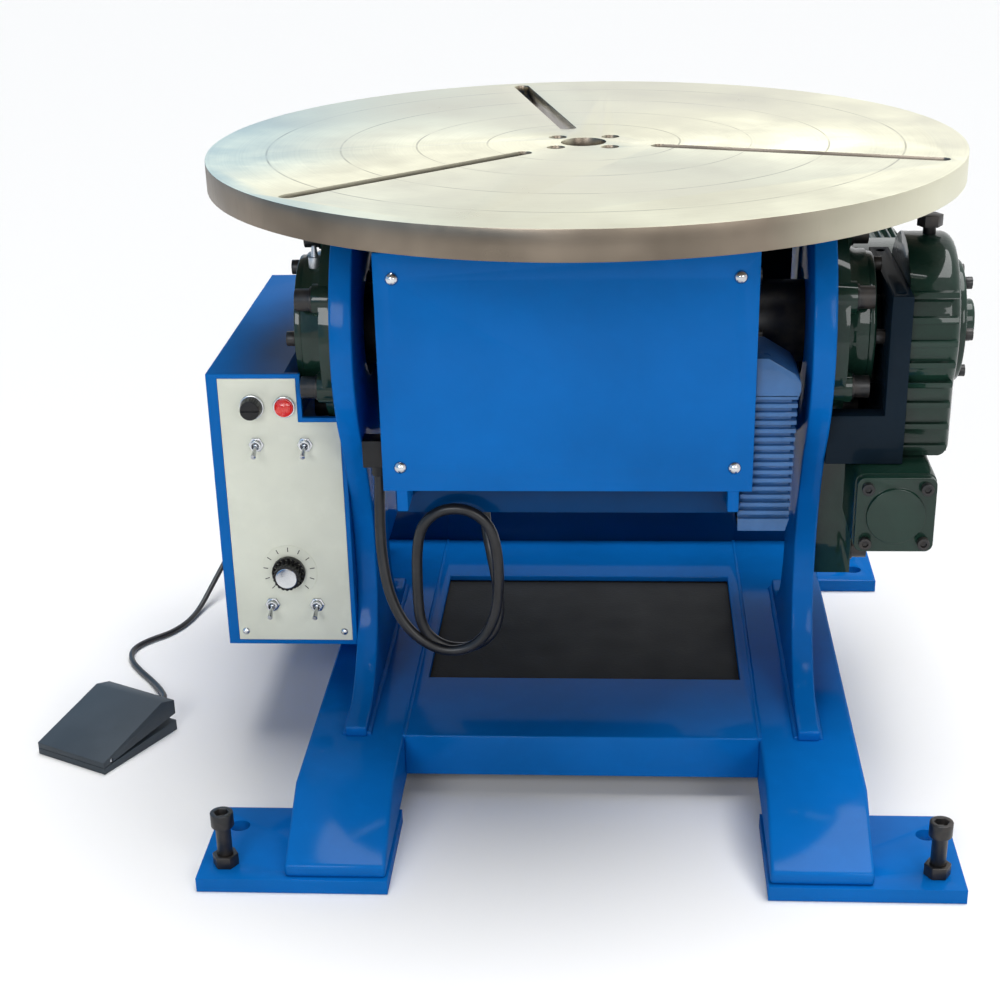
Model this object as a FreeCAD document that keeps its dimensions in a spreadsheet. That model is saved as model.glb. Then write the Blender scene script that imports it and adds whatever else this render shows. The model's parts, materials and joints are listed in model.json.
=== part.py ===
import FreeCAD, Part
import math
import os
import re
import Sketcher
from FreeCAD import Placement, Rotation, Vector

# Bench welding positioner: a round slotted table on a tilting gear housing, carried between two
# uprights on a four-footed base, with a worm reducer at the right and a control box at the left.
# Millimetres.  X right, Y back, Z up.  The origin is on the floor, at the centre of the four
# anchor holes.

doc = FreeCAD.newDocument("WeldingPositioner")

# ------------------------------------------------------------------ driving sizes
SIZES = [
    # base
    ("base_width", 790), ("base_depth", 920), ("foot_width", 200), ("foot_depth", 145),
    ("foot_thick", 16), ("anchor_side", 27), ("anchor_end", 106), ("anchor_dia", 22),
    ("level_side", 27), ("level_end", 30), ("level_dia", 16), ("level_head", 24),
    ("level_len", 78), ("nut_flats", 24), ("nut_high", 13),
    ("leg_gap", 394), ("leg_width", 105), ("leg_height", 60), ("leg_nose", 14), ("leg_slope", 95),
    ("leg_wall", 8), ("nose_inset", 5),
    ("deck_front", 205), ("deck_back", 773), ("deck_wall", 8), ("deck_skirt", 50),
    ("window_width", 366), ("window_front", 350), ("window_back", 650), ("rear_rise", 43),
    # uprights and tilt axis
    ("upright_in", 238), ("upright_thick", 24), ("upright_half", 208), ("upright_lip", 12),
    ("waist_half", 60), ("waist_high", 139), ("head_radius", 155), ("axis_y", -52),
    ("axis_high", 490),
    # table
    ("table_radius", 400), ("table_thick", 30), ("table_gap", 166), ("table_bore", 48),
    ("slot_width", 18), ("slot_depth", 12), ("slot_head", 30), ("slot_head_deep", 11),
    ("slot_from", 84), ("slot_to", 376), ("slot_turn", 103), ("centre_pcd", 80),
    ("centre_screw", 12),
    # tilting housing
    ("house_left", 195), ("house_right", 166), ("house_front", 182), ("house_back", 182),
    ("house_low", 155), ("house_high", 136), ("house_wall", 12), ("top_wall", 16),
    ("cover_thick", 4), ("cover_lap", 13), ("cover_low", 165), ("cover_high", 142),
    ("cover_screw", 8), ("cover_inset", 26),
    # trunnions and flange bearings
    ("trunnion_dia", 90), ("trunnion_flange", 180), ("trunnion_plate", 14), ("trunnion_fit", 0.05),
    ("bearing_dia", 220), ("bearing_base", 18), ("bearing_hub", 156), ("bearing_thick", 42),
    ("bearing_pcd", 194), ("cap_pcd", 126), ("cap_thick", 8), ("screw_dia", 16),
    ("screw_head", 24), ("washer_dia", 28), ("washer_thick", 3),
    # spindle and ring gear
    ("spindle_dia", 120), ("spindle_flange", 210), ("spindle_plate", 14), ("spindle_fit", 0.05),
    ("gear_module", 5), ("ring_teeth", 48), ("pinion_teeth", 12), ("gear_face", 30),
    ("gear_drop", 8), ("tooth_play", 0.9), ("ring_bore", 90),
    # turning drive
    ("drive_box", 92), ("drive_high", 150), ("motor_out", 58), ("motor_deep", 80),
    ("motor_high", 190), ("motor_slope", 46), ("motor_drop", 186), ("fin_pitch", 12), ("fin_deep", 6),
    ("fin_gap", 6),
    # tilt drive
    ("arm_off", 60), ("arm_thick", 22), ("arm_deep", 216), ("arm_low", 128), ("arm_high", 55),
    ("arm_leg", 54), ("arm_leg_thick", 25), ("output_dia", 56),
    ("case_thick", 54), ("case_radius", 96), ("case_low", 128), ("rib_pitch", 24), ("rib_thick", 6),
    ("rib_out", 7), ("side_cover_dia", 132), ("side_cover_thick", 10), ("side_boss_dia", 46),
    ("side_boss_out", 16), ("worm_side", 86), ("worm_drop", 172), ("worm_off", 73),
    ("worm_front", 134), ("worm_back", 114), ("worm_cover", 12), ("lug_wide", 34), ("lug_deep", 78),
    ("lug_drop", 285), ("link_deep", 74), ("link_high", 262), ("drive_dia", 128),
    ("drive_len", 118), ("drive_fins", 28), ("drive_bell", 26),
    # control box
    ("box_width", 150), ("box_height", 326), ("box_low", 130), ("box_depth", 427),
    ("box_front", -135), ("box_wall", 2), ("panel_inset", 5), ("notch_width", 64),
    ("notch_height", 82), ("brow_width", 46), ("brow_height", 50), ("brow_deep", 6), ("knob_dia", 38), ("knob_high", 20), ("lamp_dia", 24), ("fuse_dia", 27),
    ("toggle_dia", 12), ("lever_len", 20), ("dial_dia", 64),
    # foot pedal
    ("pedal_width", 104), ("pedal_length", 128), ("pedal_high", 46), ("pedal_toe", 15),
    ("pedal_wall", 3), ("pedal_turn", -28), ("pedal_x", -645.5), ("pedal_y", -170.6),
    ("pedal_gap", 0.6), ("pedal_pin", 6),
    # leads
    ("cord_dia", 7), ("lead_dia", 12), ("border", 7), ("panel_play", 0.3),
]

sheet = doc.addObject("Spreadsheet::Sheet", "Sizes")
for row, (alias, number) in enumerate(SIZES, 1):
    sheet.set("A%d" % row, alias)
    sheet.set("B%d" % row, str(number))
    sheet.setAlias("B%d" % row, alias)
doc.recompute()

# ------------------------------------------------------------------ sizes that follow from them
LAYOUT = [
    ("front_y", "-base_depth / 2"),
    ("anchor_px", "base_width / 2 - anchor_side"),
    ("anchor_py", "base_depth / 2 - anchor_end"),
    ("level_px", "base_width / 2 - level_side"),
    ("level_py", "base_depth / 2 - level_end"),
    ("leg_top", "foot_thick + leg_height"),
    ("leg_end", "base_depth / 2 - nose_inset"),
    ("leg_flat", "base_depth / 2 - nose_inset - leg_slope"),
    ("deck_y0", "deck_front - base_depth / 2"),
    ("deck_y1", "deck_back - base_depth / 2"),
    ("upright_out", "upright_in + upright_thick"),
    ("waist_z", "foot_thick + leg_height + waist_high"),
    ("lower_bend", "waist_high - upright_lip"),
    ("upper_bend", "(waist_half^2 + (axis_high - foot_thick - leg_height - waist_high)^2"
                   " - head_radius^2) / (2 * (head_radius - waist_half))"),
    ("table_low", "axis_high + table_gap"),
    ("table_top", "axis_high + table_gap + table_thick"),
    ("bearing_bore", "trunnion_dia / 2 + trunnion_fit"),
    ("bearing_face", "upright_in + upright_thick + bearing_thick"),
    ("cap_face", "upright_in + upright_thick + bearing_thick + cap_thick"),
    ("top_z", "axis_high + house_high - top_wall"),
    ("ring_pitch", "gear_module * ring_teeth / 2"),
    ("pinion_pitch", "gear_module * pinion_teeth / 2"),
    ("gear_z", "axis_high + house_high - top_wall - gear_drop - gear_face"),
    ("pinion_x", "gear_module * (ring_teeth + pinion_teeth) / 2 * cos(45)"),
    ("pinion_y", "axis_y - gear_module * (ring_teeth + pinion_teeth) / 2 * sin(45)"),
    ("arm_x", "upright_in + upright_thick + arm_off"),
    ("case_x", "upright_in + upright_thick + arm_off + arm_thick"),
    ("case_face", "upright_in + upright_thick + arm_off + arm_thick + case_thick"),
    ("worm_x", "upright_in + upright_thick + worm_off"),
    ("worm_z", "axis_high - worm_drop"),
    ("worm_y0", "axis_y - worm_front"),
    ("worm_y1", "axis_y + worm_back"),
    ("link_z1", "axis_high - worm_drop - worm_side / 2 + link_high"),
    ("drive_y", "axis_y + worm_back + link_deep / 2"),
    ("box_x1", "-upright_in - upright_thick"),
    ("box_x0", "-upright_in - upright_thick - box_width"),
    ("box_top", "box_low + box_height"),
    ("panel_x0", "-upright_in - upright_thick - box_width + panel_inset"),
    ("panel_x1", "-upright_in - upright_thick - panel_inset"),
    ("panel_z0", "box_low + panel_inset"),
    ("panel_z1", "box_low + box_height - panel_inset"),
]
ALIASES = {name for name, _ in SIZES}
DERIVED = {name for name, _ in LAYOUT}


def ref(formula):
    """The formula with every size written as a reference to its sheet."""
    def place(match):
        word = match.group(0)
        if word in ALIASES:
            return "Sizes." + word
        return "Layout." + word if word in DERIVED else word
    return re.sub(r"[a-z_][a-z_0-9]*", place, str(formula))


layout = doc.addObject("Spreadsheet::Sheet", "Layout")
for row, (alias, formula) in enumerate(LAYOUT, 1):
    layout.set("A%d" % row, alias)
    layout.set("B%d" % row, "=" + ref(formula))
    layout.setAlias("B%d" % row, alias)
doc.recompute()


def size(name):
    return float(getattr(sheet if name in ALIASES else layout, name))


# ------------------------------------------------------------------ building helpers
NODES = {}
TURN = {"Z": Rotation(), "X": Rotation(Vector(0, 1, 0), 90), "Y": Rotation(Vector(1, 0, 0), -90)}
count = [0]


def fresh(stem):
    count[0] += 1
    return "%s_%03d" % (stem, count[0])


def bind(obj, **formulas):
    for name, formula in formulas.items():
        obj.setExpression(name.replace("__", "."), ref(formula))
    return obj


def at(obj, x=0, y=0, z=0, turn=None):
    if turn is not None:
        obj.Placement = Placement(Vector(), turn)
    for axis, formula in zip("xyz", (x, y, z)):
        obj.setExpression("Placement.Base." + axis, ref(formula))
    return obj


def box(x, y, z, length, width, height):
    obj = doc.addObject("Part::Box", fresh("Block"))
    bind(obj, Length=length, Width=width, Height=height)
    return at(obj, x, y, z)


def rod(axis, radius, length, x, y, z):
    """A cylinder that starts at the point and runs along +axis."""
    obj = doc.addObject("Part::Cylinder", fresh("Rod"))
    bind(obj, Radius=radius, Height=length)
    return at(obj, x, y, z, TURN[axis])


def cone(axis, radius1, radius2, length, x, y, z):
    obj = doc.addObject("Part::Cone", fresh("Cone"))
    bind(obj, Radius1=radius1, Radius2=radius2, Height=length)
    return at(obj, x, y, z, TURN[axis])


def hexagon(axis, across, length, x, y, z):
    obj = doc.addObject("Part::Prism", fresh("Hex"))
    obj.Polygon = 6
    bind(obj, Circumradius="(%s) / 2 / cos(30)" % across, Height=length)
    return at(obj, x, y, z, TURN[axis])


def fuse(*parts):
    if len(parts) == 1:
        return parts[0]
    obj = doc.addObject("Part::MultiFuse", fresh("Fuse"))
    obj.Shapes = list(parts)
    return obj


def cut(base, *tools):
    obj = doc.addObject("Part::Cut", fresh("Cut"))
    obj.Base = base
    obj.Tool = fuse(*tools)
    return obj


def group(*parts):
    obj = doc.addObject("Part::Compound", fresh("Group"))
    obj.Links = list(parts)
    return obj


def fillet(base, radius, pick):
    """Round the edges whose centre passes the test."""
    doc.recompute()
    obj = doc.addObject("Part::Fillet", fresh("Round"))
    obj.Base = base
    edges = [i for i, edge in enumerate(base.Shape.Edges, 1) if pick(edge)]
    obj.Edges = [(i, size(radius) if isinstance(radius, str) else radius,
                  size(radius) if isinstance(radius, str) else radius) for i in edges]
    return obj


def node(name, obj):
    obj.Label = name
    NODES[name] = obj
    return obj


def mirrored(obj):
    """The same piece reflected to the other side of the YZ plane."""
    twin = doc.addObject("Part::Mirroring", fresh("Mirror"))
    twin.Source = obj
    twin.Normal = Vector(1, 0, 0)
    return twin


def new_body(stem, x=0, y=0, z=0, turn=None):
    body = doc.addObject("PartDesign::Body", fresh(stem))
    return at(body, x, y, z, turn or Rotation())


def sketch_on(body, role):
    plane = next(o for o in body.Origin.OriginFeatures if o.Role == role)
    sk = body.newObject("Sketcher::SketchObject", fresh("Sketch"))
    sk.AttachmentSupport = [(plane, "")]
    sk.MapMode = "FlatFace"
    return sk


def fix_point(sk, geo, pos, x, y):
    """Tie one sketch point to two formulas, measured from the sketch origin."""
    for kind, formula in (("DistanceX", x), ("DistanceY", y)):
        row = sk.addConstraint(Sketcher.Constraint(kind, -1, 1, geo, pos, 1.0))
        sk.setExpression("Constraints[%d]" % row, ref(formula))


def outline(body, role, points):
    """A closed sketch outline through points that are given as pairs of formulas."""
    sk = sketch_on(body, role)
    total = len(points)
    spots = [Vector(100 * math.cos(2 * math.pi * i / total), 100 * math.sin(2 * math.pi * i / total), 0)
             for i in range(total)]
    for i in range(total):
        sk.addGeometry(Part.LineSegment(spots[i], spots[(i + 1) % total]), False)
    for i in range(total):
        sk.addConstraint(Sketcher.Constraint("Coincident", i, 2, (i + 1) % total, 1))
    for i, (x, y) in enumerate(points):
        fix_point(sk, i, 1, x, y)
    return sk


def circles(body, role, spots):
    """A sketch of circles, each given as formulas for its centre and its radius."""
    sk = sketch_on(body, role)
    for i, (x, y, radius) in enumerate(spots):
        sk.addGeometry(Part.Circle(Vector(40 * i + 5, 7, 0), Vector(0, 0, 1), 3), False)
        fix_point(sk, i, 3, x, y)
        row = sk.addConstraint(Sketcher.Constraint("Radius", i, 3.0))
        sk.setExpression("Constraints[%d]" % row, ref(radius))
    return sk


def pad(body, sk, length, backward=False, midplane=False):
    feature = body.newObject("PartDesign::Pad", fresh("Pad"))
    feature.Profile = sk
    feature.Reversed = backward
    if midplane:
        feature.SideType = "Symmetric"
    return bind(feature, Length=length)


def pocket(body, sk, length=None, backward=False):
    """A pocket to a depth, or right through where no depth is given."""
    feature = body.newObject("PartDesign::Pocket", fresh("Pocket"))
    feature.Profile = sk
    feature.Reversed = backward
    if length is None:
        feature.Type = "ThroughAll"
        feature.Midplane = True
        return feature
    return bind(feature, Length=length)


def ring_of(body, feature, copies, role="Z_Axis"):
    pattern = body.newObject("PartDesign::PolarPattern", fresh("Ring"))
    pattern.Originals = [feature]
    pattern.Axis = (next(o for o in body.Origin.OriginFeatures if o.Role == role), [""])
    pattern.Angle = 360
    bind(pattern, Occurrences=copies)
    body.Tip = pattern
    return pattern


def row_of(body, feature, copies, length, role="Z_Axis"):
    pattern = body.newObject("PartDesign::LinearPattern", fresh("Row"))
    pattern.Originals = [feature]
    pattern.Direction = (next(o for o in body.Origin.OriginFeatures if o.Role == role), [""])
    bind(pattern, Occurrences=copies, Length=length)
    body.Tip = pattern
    return pattern


def revolve(body, sk, role="Z_Axis"):
    feature = body.newObject("PartDesign::Revolution", fresh("Turned"))
    feature.Profile = sk
    feature.ReferenceAxis = (next(o for o in body.Origin.OriginFeatures if o.Role == role), [""])
    feature.Angle = 360
    return feature


def cap_screw(axis, sign, x, y, z, dia="screw_dia", head="screw_head", washer=True):
    """A socket head on its washer, seated at the point and standing out along sign * axis."""
    start = {"X": [x, y, z], "Y": [x, y, z], "Z": [x, y, z]}[axis]
    where = "XYZ".index(axis)
    out = "+" if sign > 0 else "-"

    def from_seat(low, high):
        spot = list(start)
        near = low if sign > 0 else high
        spot[where] = "(%s) %s (%s)" % (start[where], out, near)
        return spot, "(%s) - (%s)" % (high, low)

    parts = []
    lift = "0"
    if washer:
        spot, long = from_seat("0", "washer_thick")
        parts.append(rod(axis, "washer_dia / 2", long, *spot))
        lift = "washer_thick"
    spot, long = from_seat(lift, "%s + %s" % (lift, dia))
    parts.append(rod(axis, "%s / 2" % head, long, *spot))
    body = fuse(*parts)
    spot, long = from_seat("%s + %s * 0.5" % (lift, dia), "%s + %s" % (lift, dia))
    return cut(body, hexagon(axis, "%s * 0.8" % dia, long, *spot))


# ------------------------------------------------------------------ base
def foot_plate():
    """Front left foot with its anchor hole and the tapped hole of the levelling screw."""
    body = new_body("Foot")
    sk = outline(body, "XY_Plane", [
        ("-base_width / 2", "front_y"), ("-base_width / 2 + foot_width", "front_y"),
        ("-base_width / 2 + foot_width", "front_y + foot_depth"),
        ("-base_width / 2", "front_y + foot_depth")])
    pad(body, sk, "foot_thick")
    holes = circles(body, "XY_Plane", [("-anchor_px", "-anchor_py", "anchor_dia / 2"),
                                       ("-level_px", "-level_py", "level_dia / 2 + 0.05")])
    pocket(body, holes)
    return body


def mirrored_y(obj):
    twin = doc.addObject("Part::Mirroring", fresh("Mirror"))
    twin.Source = obj
    twin.Normal = Vector(0, 1, 0)
    return twin


foot = foot_plate()
foot_right = mirrored(foot)
node("foot_plates", group(foot, foot_right, mirrored_y(foot), mirrored_y(foot_right)))


def leg(name, sign):
    """A folded channel: a flat back that slopes down to a short nose at each end."""
    low = "%s(leg_gap / 2 + leg_width * %s)" % ("" if sign > 0 else "-", "0" if sign > 0 else "1")
    body = new_body("Leg", x=low)
    outer = [("-leg_end", "foot_thick"), ("-leg_end", "foot_thick + leg_nose"),
             ("-leg_flat", "leg_top"), ("leg_flat", "leg_top"),
             ("leg_end", "foot_thick + leg_nose"), ("leg_end", "foot_thick")]
    pad(body, outline(body, "YZ_Plane", outer), "leg_width")
    hollow = new_body("Hollow", x="%s + leg_wall" % low)
    inner = [("-leg_end + leg_wall", "foot_thick - 1"),
             ("-leg_end + leg_wall", "foot_thick + leg_nose - leg_wall * 0.6"),
             ("-leg_flat + leg_wall * 0.2", "leg_top - leg_wall"),
             ("leg_flat - leg_wall * 0.2", "leg_top - leg_wall"),
             ("leg_end - leg_wall", "foot_thick + leg_nose - leg_wall * 0.6"),
             ("leg_end - leg_wall", "foot_thick - 1")]
    pad(hollow, outline(hollow, "YZ_Plane", inner), "leg_width - 2 * leg_wall")
    return node(name, cut(body, hollow))


leg("leg_left", -1)
leg("leg_right", 1)

deck = fuse(
    box("-leg_gap / 2", "deck_y0", "leg_top - deck_wall", "leg_gap", "deck_y1 - deck_y0", "deck_wall"),
    box("-leg_gap / 2", "deck_y0", "leg_top - deck_skirt", "leg_gap", "deck_wall", "deck_skirt"))
window = box("-window_width / 2", "window_front - base_depth / 2", "leg_top - deck_wall - 1",
             "window_width", "window_back - window_front", "deck_wall + 2")
node("deck_plate", cut(deck, window))
node("rear_cross_panel",
     box("-leg_gap / 2", "deck_y1", "leg_top - deck_skirt", "leg_gap", "deck_wall",
         "deck_skirt + rear_rise"))


def levelling(kind):
    parts = []
    for sx in ("-", ""):
        for sy in ("-", ""):
            x, y = sx + "level_px", sy + "level_py"
            if kind == "screw":
                shank = rod("Z", "level_dia / 2", "level_len - level_dia", x, y, 0.5)
                head = rod("Z", "level_head / 2", "level_dia", x, y, "0.5 + level_len - level_dia")
                socket = hexagon("Z", "level_dia * 0.85", "level_dia * 0.6", x, y,
                                 "0.5 + level_len - level_dia * 0.5")
                parts.append(cut(fuse(shank, head), socket))
            else:
                nut = hexagon("Z", "nut_flats", "nut_high", x, y, "foot_thick")
                parts.append(cut(nut, rod("Z", "level_dia / 2 + 0.05", "nut_high + 2", x, y,
                                          "foot_thick - 1")))
    return group(*parts)


node("levelling_screws", levelling("screw"))
node("levelling_nuts", levelling("nut"))


# ------------------------------------------------------------------ uprights
def upright(name, low):
    """Hourglass plate: a round head at the tilt axis, a waist and a flared foot."""
    def slab(y_half, z0, z1):
        return box(low, "axis_y - (%s)" % y_half, z0, "upright_thick", "2 * (%s)" % y_half,
                   "(%s) - (%s)" % (z1, z0))

    def hollow(radius, y_half, low_side):
        """The waste beside the waist: half of a cylinder, below or above the waist."""
        keep = "waist_z - 2000" if low_side else "waist_z"
        rods = [rod("X", radius, "upright_thick + 2", low + " - 1",
                    "axis_y %s (%s)" % (sign, y_half), "waist_z") for sign in "-+"]
        common = doc.addObject("Part::Common", fresh("Waste"))
        common.Base = fuse(*rods)
        common.Tool = box(low + " - 2", "axis_y - 2000", keep, "upright_thick + 4", "4000", "2000")
        return common

    reach = "(waist_half + upper_bend) * head_radius / (upper_bend + head_radius)"
    touch = "axis_high - (axis_high - waist_z) * head_radius / (upper_bend + head_radius)"
    lip = "leg_top + upright_lip"
    plate = fuse(
        slab("upright_half", "leg_top", lip),
        slab("waist_half + lower_bend", lip, "waist_z"),
        slab(reach, "waist_z", touch),
        rod("X", "head_radius", "upright_thick", low, "axis_y", "axis_high"))
    bore = rod("X", "trunnion_dia / 2 + 12", "upright_thick + 2", low + " - 1", "axis_y", "axis_high")
    return node(name, cut(plate, bore, hollow("lower_bend", "waist_half + lower_bend", True),
                          hollow("upper_bend", "waist_half + upper_bend", False)))


upright("upright_left", "-upright_out")
upright("upright_right", "upright_in")


# ------------------------------------------------------------------ table
def stadium(body, x0, x1, width):
    """A slot outline along the sketch's X axis with round ends."""
    sk = sketch_on(body, "XY_Plane")
    half, first, last = size(width) / 2, size(x0), size(x1)
    sk.addGeometry(Part.LineSegment(Vector(first, half, 0), Vector(last, half, 0)), False)
    sk.addGeometry(Part.LineSegment(Vector(last, -half, 0), Vector(first, -half, 0)), False)
    right = Part.Circle(Vector(last, 0, 0), Vector(0, 0, 1), half)
    left = Part.Circle(Vector(first, 0, 0), Vector(0, 0, 1), half)
    sk.addGeometry(Part.ArcOfCircle(right, -math.pi / 2, math.pi / 2), False)
    sk.addGeometry(Part.ArcOfCircle(left, math.pi / 2, 3 * math.pi / 2), False)
    for one, end1, two, end2 in ((0, 2, 2, 2), (1, 1, 2, 1), (1, 2, 3, 2), (0, 1, 3, 1)):
        sk.addConstraint(Sketcher.Constraint("Tangent", one, end1, two, end2))
    sk.addConstraint(Sketcher.Constraint("Equal", 2, 3))
    for arc, name in ((2, x1), (3, x0)):
        sk.addConstraint(Sketcher.Constraint("PointOnObject", arc, 3, -1))
        row = sk.addConstraint(Sketcher.Constraint("DistanceX", -1, 1, arc, 3, size(name)))
        sk.setExpression("Constraints[%d]" % row, ref(name))
    row = sk.addConstraint(Sketcher.Constraint("Radius", 2, half))
    sk.setExpression("Constraints[%d]" % row, ref(width + " / 2"))
    return sk


table = new_body("Table", y="axis_y", z="table_low")
table.setExpression("Placement.Rotation.Angle", ref("slot_turn * 1 deg"))
pad(table, circles(table, "XY_Plane", [("0", "0", "table_radius")]), "table_thick")
pocket(table, circles(table, "XY_Plane", [("0", "0", "table_bore / 2")]))
mouth = pocket(table, stadium(table, "slot_from", "slot_to", "slot_width"))
ring_of(table, mouth, "3")
under = pocket(table, stadium(table, "slot_from", "slot_to", "slot_head"),
               "table_thick - slot_depth", backward=True)
ring_of(table, under, "3")
screw_spots = [("centre_pcd / 2 * cos(%d)" % a, "axis_y + centre_pcd / 2 * sin(%d)" % a)
               for a in (45, 135, 225, 315)]
screw_holes = []
for x, y in screw_spots:
    screw_holes.append(rod("Z", "centre_screw / 2 + 0.3", "table_thick + 2", x, y, "table_low - 1"))
    screw_holes.append(rod("Z", "centre_screw * 0.75 + 0.5", "table_thick", x, y,
                           "table_top - centre_screw"))
node("table", cut(table, *screw_holes))
node("table_screws", group(*[
    cut(fuse(rod("Z", "centre_screw / 2", "table_thick - centre_screw", x, y, "table_low"),
             rod("Z", "centre_screw * 0.75", "centre_screw - 3", x, y,
                 "table_top - centre_screw")),
        hexagon("Z", "centre_screw * 0.8", "6", x, y, "table_top - 8")) for x, y in screw_spots]))

spindle = cut(
    fuse(rod("Z", "spindle_flange / 2", "spindle_plate", "0", "axis_y", "table_low - spindle_plate"),
         rod("Z", "spindle_dia / 2", "table_low - top_z", "0", "axis_y", "top_z"),
         rod("Z", "ring_bore / 2", "top_z - gear_z + 4", "0", "axis_y", "gear_z - 4")),
    rod("Z", "table_bore / 2", "400", "0", "axis_y", "gear_z - 50"))
node("spindle", spindle)


def gear(teeth, pitch, bore, x, y, face, z):
    """Spur gear: a blank with one tooth gap cut from it, then the gap repeated round the axis."""
    body = new_body("Gear", x=x, y=y, z=z)
    tip = "(%s + gear_module * 0.8)" % pitch
    root = "(%s - gear_module)" % pitch
    pad(body, circles(body, "XY_Plane", [("0", "0", tip)]), face)
    half = "(gear_module * pi / 4 + tooth_play)"
    flank = "tan(20 + 180 / %s)" % teeth
    wide = "(%s + gear_module * 1.1 * %s)" % (half, flank)
    narrow = "(%s - gear_module * %s)" % (half, flank)
    gap = outline(body, "XY_Plane", [
        (root, "-" + narrow), (pitch + " + gear_module * 1.1", "-" + wide),
        (pitch + " + gear_module * 1.1", wide), (root, narrow)])
    ring_of(body, pocket(body, gap), teeth)
    hole = circles(body, "XY_Plane", [("0", "0", bore)])
    body.Tip = pocket(body, hole)
    return body


node("ring_gear", gear("ring_teeth", "ring_pitch", "ring_bore / 2", "0", "axis_y", "gear_face",
                       "gear_z"))
node("pinion", fuse(
    gear("pinion_teeth", "pinion_pitch", "12", "pinion_x", "pinion_y", "gear_face - 4", "gear_z + 2"),
    rod("Z", "12", "gear_face + 13.7", "pinion_x", "pinion_y", "gear_z - 13.7")))

# ------------------------------------------------------------------ tilting housing
walls = fuse(
    box("-house_left", "axis_y - house_front", "axis_high - house_low", "house_wall",
        "house_front + house_back", "house_low + house_high"),
    box("house_right - house_wall", "axis_y - house_front", "axis_high - house_low", "house_wall",
        "house_front + house_back", "house_low + house_high"),
    box("-house_left", "axis_y - house_front", "top_z", "house_left + house_right",
        "house_front + house_back", "top_wall"),
    box("-house_left", "axis_y + house_back - house_wall", "axis_high - house_low",
        "house_left + house_right", "house_wall", "house_low + house_high"),
    box("-house_left", "axis_y - house_front + 62", "axis_high - house_low",
        "house_left + house_right", "60", "10"))
bores = [rod("Z", "spindle_dia / 2 + spindle_fit", "top_wall + 2", "0", "axis_y", "top_z - 1"),
         box("house_right - house_wall - 1", "axis_y - motor_drop + 20", "axis_high - motor_drop + 24",
             "house_wall + 2", "motor_deep - 34", "motor_high - motor_slope - 44")]
node("tilt_frame", cut(walls, *bores))

cover = new_body("Cover", y="axis_y - house_front")
pad(cover, outline(cover, "XZ_Plane", [
    ("-house_left - cover_lap", "axis_high - cover_low"),
    ("house_right + cover_lap", "axis_high - cover_low"),
    ("house_right + cover_lap", "axis_high + cover_high"),
    ("-house_left - cover_lap", "axis_high + cover_high")]), "cover_thick")
cover_spots = [(x, z) for x in ("-house_left + 6", "house_right - 6")
               for z in ("axis_high - cover_low + cover_inset", "axis_high + cover_high - cover_inset")]
pocket(cover, circles(cover, "XZ_Plane", [(x, z, "cover_screw / 2 + 0.3") for x, z in cover_spots]))
node("front_cover", cover)


def dome_screw(x, y, z, dia):
    """A button head that seats on a face looking to the front."""
    ball = doc.addObject("Part::Sphere", fresh("Ball"))
    bind(ball, Radius="(%s) * 0.95" % dia)
    at(ball, x, y + " + (%s) * 0.35" % dia, z)
    head = doc.addObject("Part::Common", fresh("Dome"))
    head.Base = ball
    head.Tool = rod("Y", "(%s) * 0.88" % dia, "(%s) * 0.6" % dia, x, y + " - (%s) * 0.6" % dia, z)
    return head


node("cover_screws", group(*[dome_screw(x, "axis_y - house_front - cover_thick", z, "cover_screw")
                             for x, z in cover_spots]))

# ------------------------------------------------------------------ trunnions and bearings
def trunnion(name, side):
    face = "house_left" if side < 0 else "house_right"
    if side < 0:
        plate = rod("X", "trunnion_flange / 2", "trunnion_plate", "-house_left - trunnion_plate",
                    "axis_y", "axis_high")
        shaft = rod("X", "trunnion_dia / 2", "bearing_face - house_left - 4", "-bearing_face + 4",
                    "axis_y", "axis_high")
        return node(name, fuse(plate, shaft))
    plate = rod("X", "trunnion_flange / 2", "trunnion_plate", face, "axis_y", "axis_high")
    shaft = rod("X", "trunnion_dia / 2", "cap_face - house_right", face, "axis_y", "axis_high")
    output = rod("X", "output_dia / 2", "case_x + case_thick * 0.6 - house_right", face, "axis_y",
                 "axis_high")
    return node(name, fuse(plate, shaft, output))


trunnion("trunnion_left", -1)
trunnion("trunnion_right", 1)


def around(pcd, angles):
    """Places on a circle about the tilt axis; angle 0 faces the front, +90 is up."""
    return [("axis_y - %s / 2 * cos(%d)" % (pcd, a), "axis_high + %s / 2 * sin(%d)" % (pcd, a))
            for a in angles]


def trunnion_screws():
    parts = []
    for a in (0, 60, 120, 180, 240, 300):
        (y, z), = around("(trunnion_flange - 44)", [a])
        parts.append(cap_screw("X", -1, "-house_left - trunnion_plate", y, z, "12", "18", False))
        parts.append(cap_screw("X", 1, "house_right + trunnion_plate", y, z, "12", "18", False))
    return group(*parts)


node("trunnion_screws", trunnion_screws())
SPOTS = (-30, 30, 90, 150, 210, 270)


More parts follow.
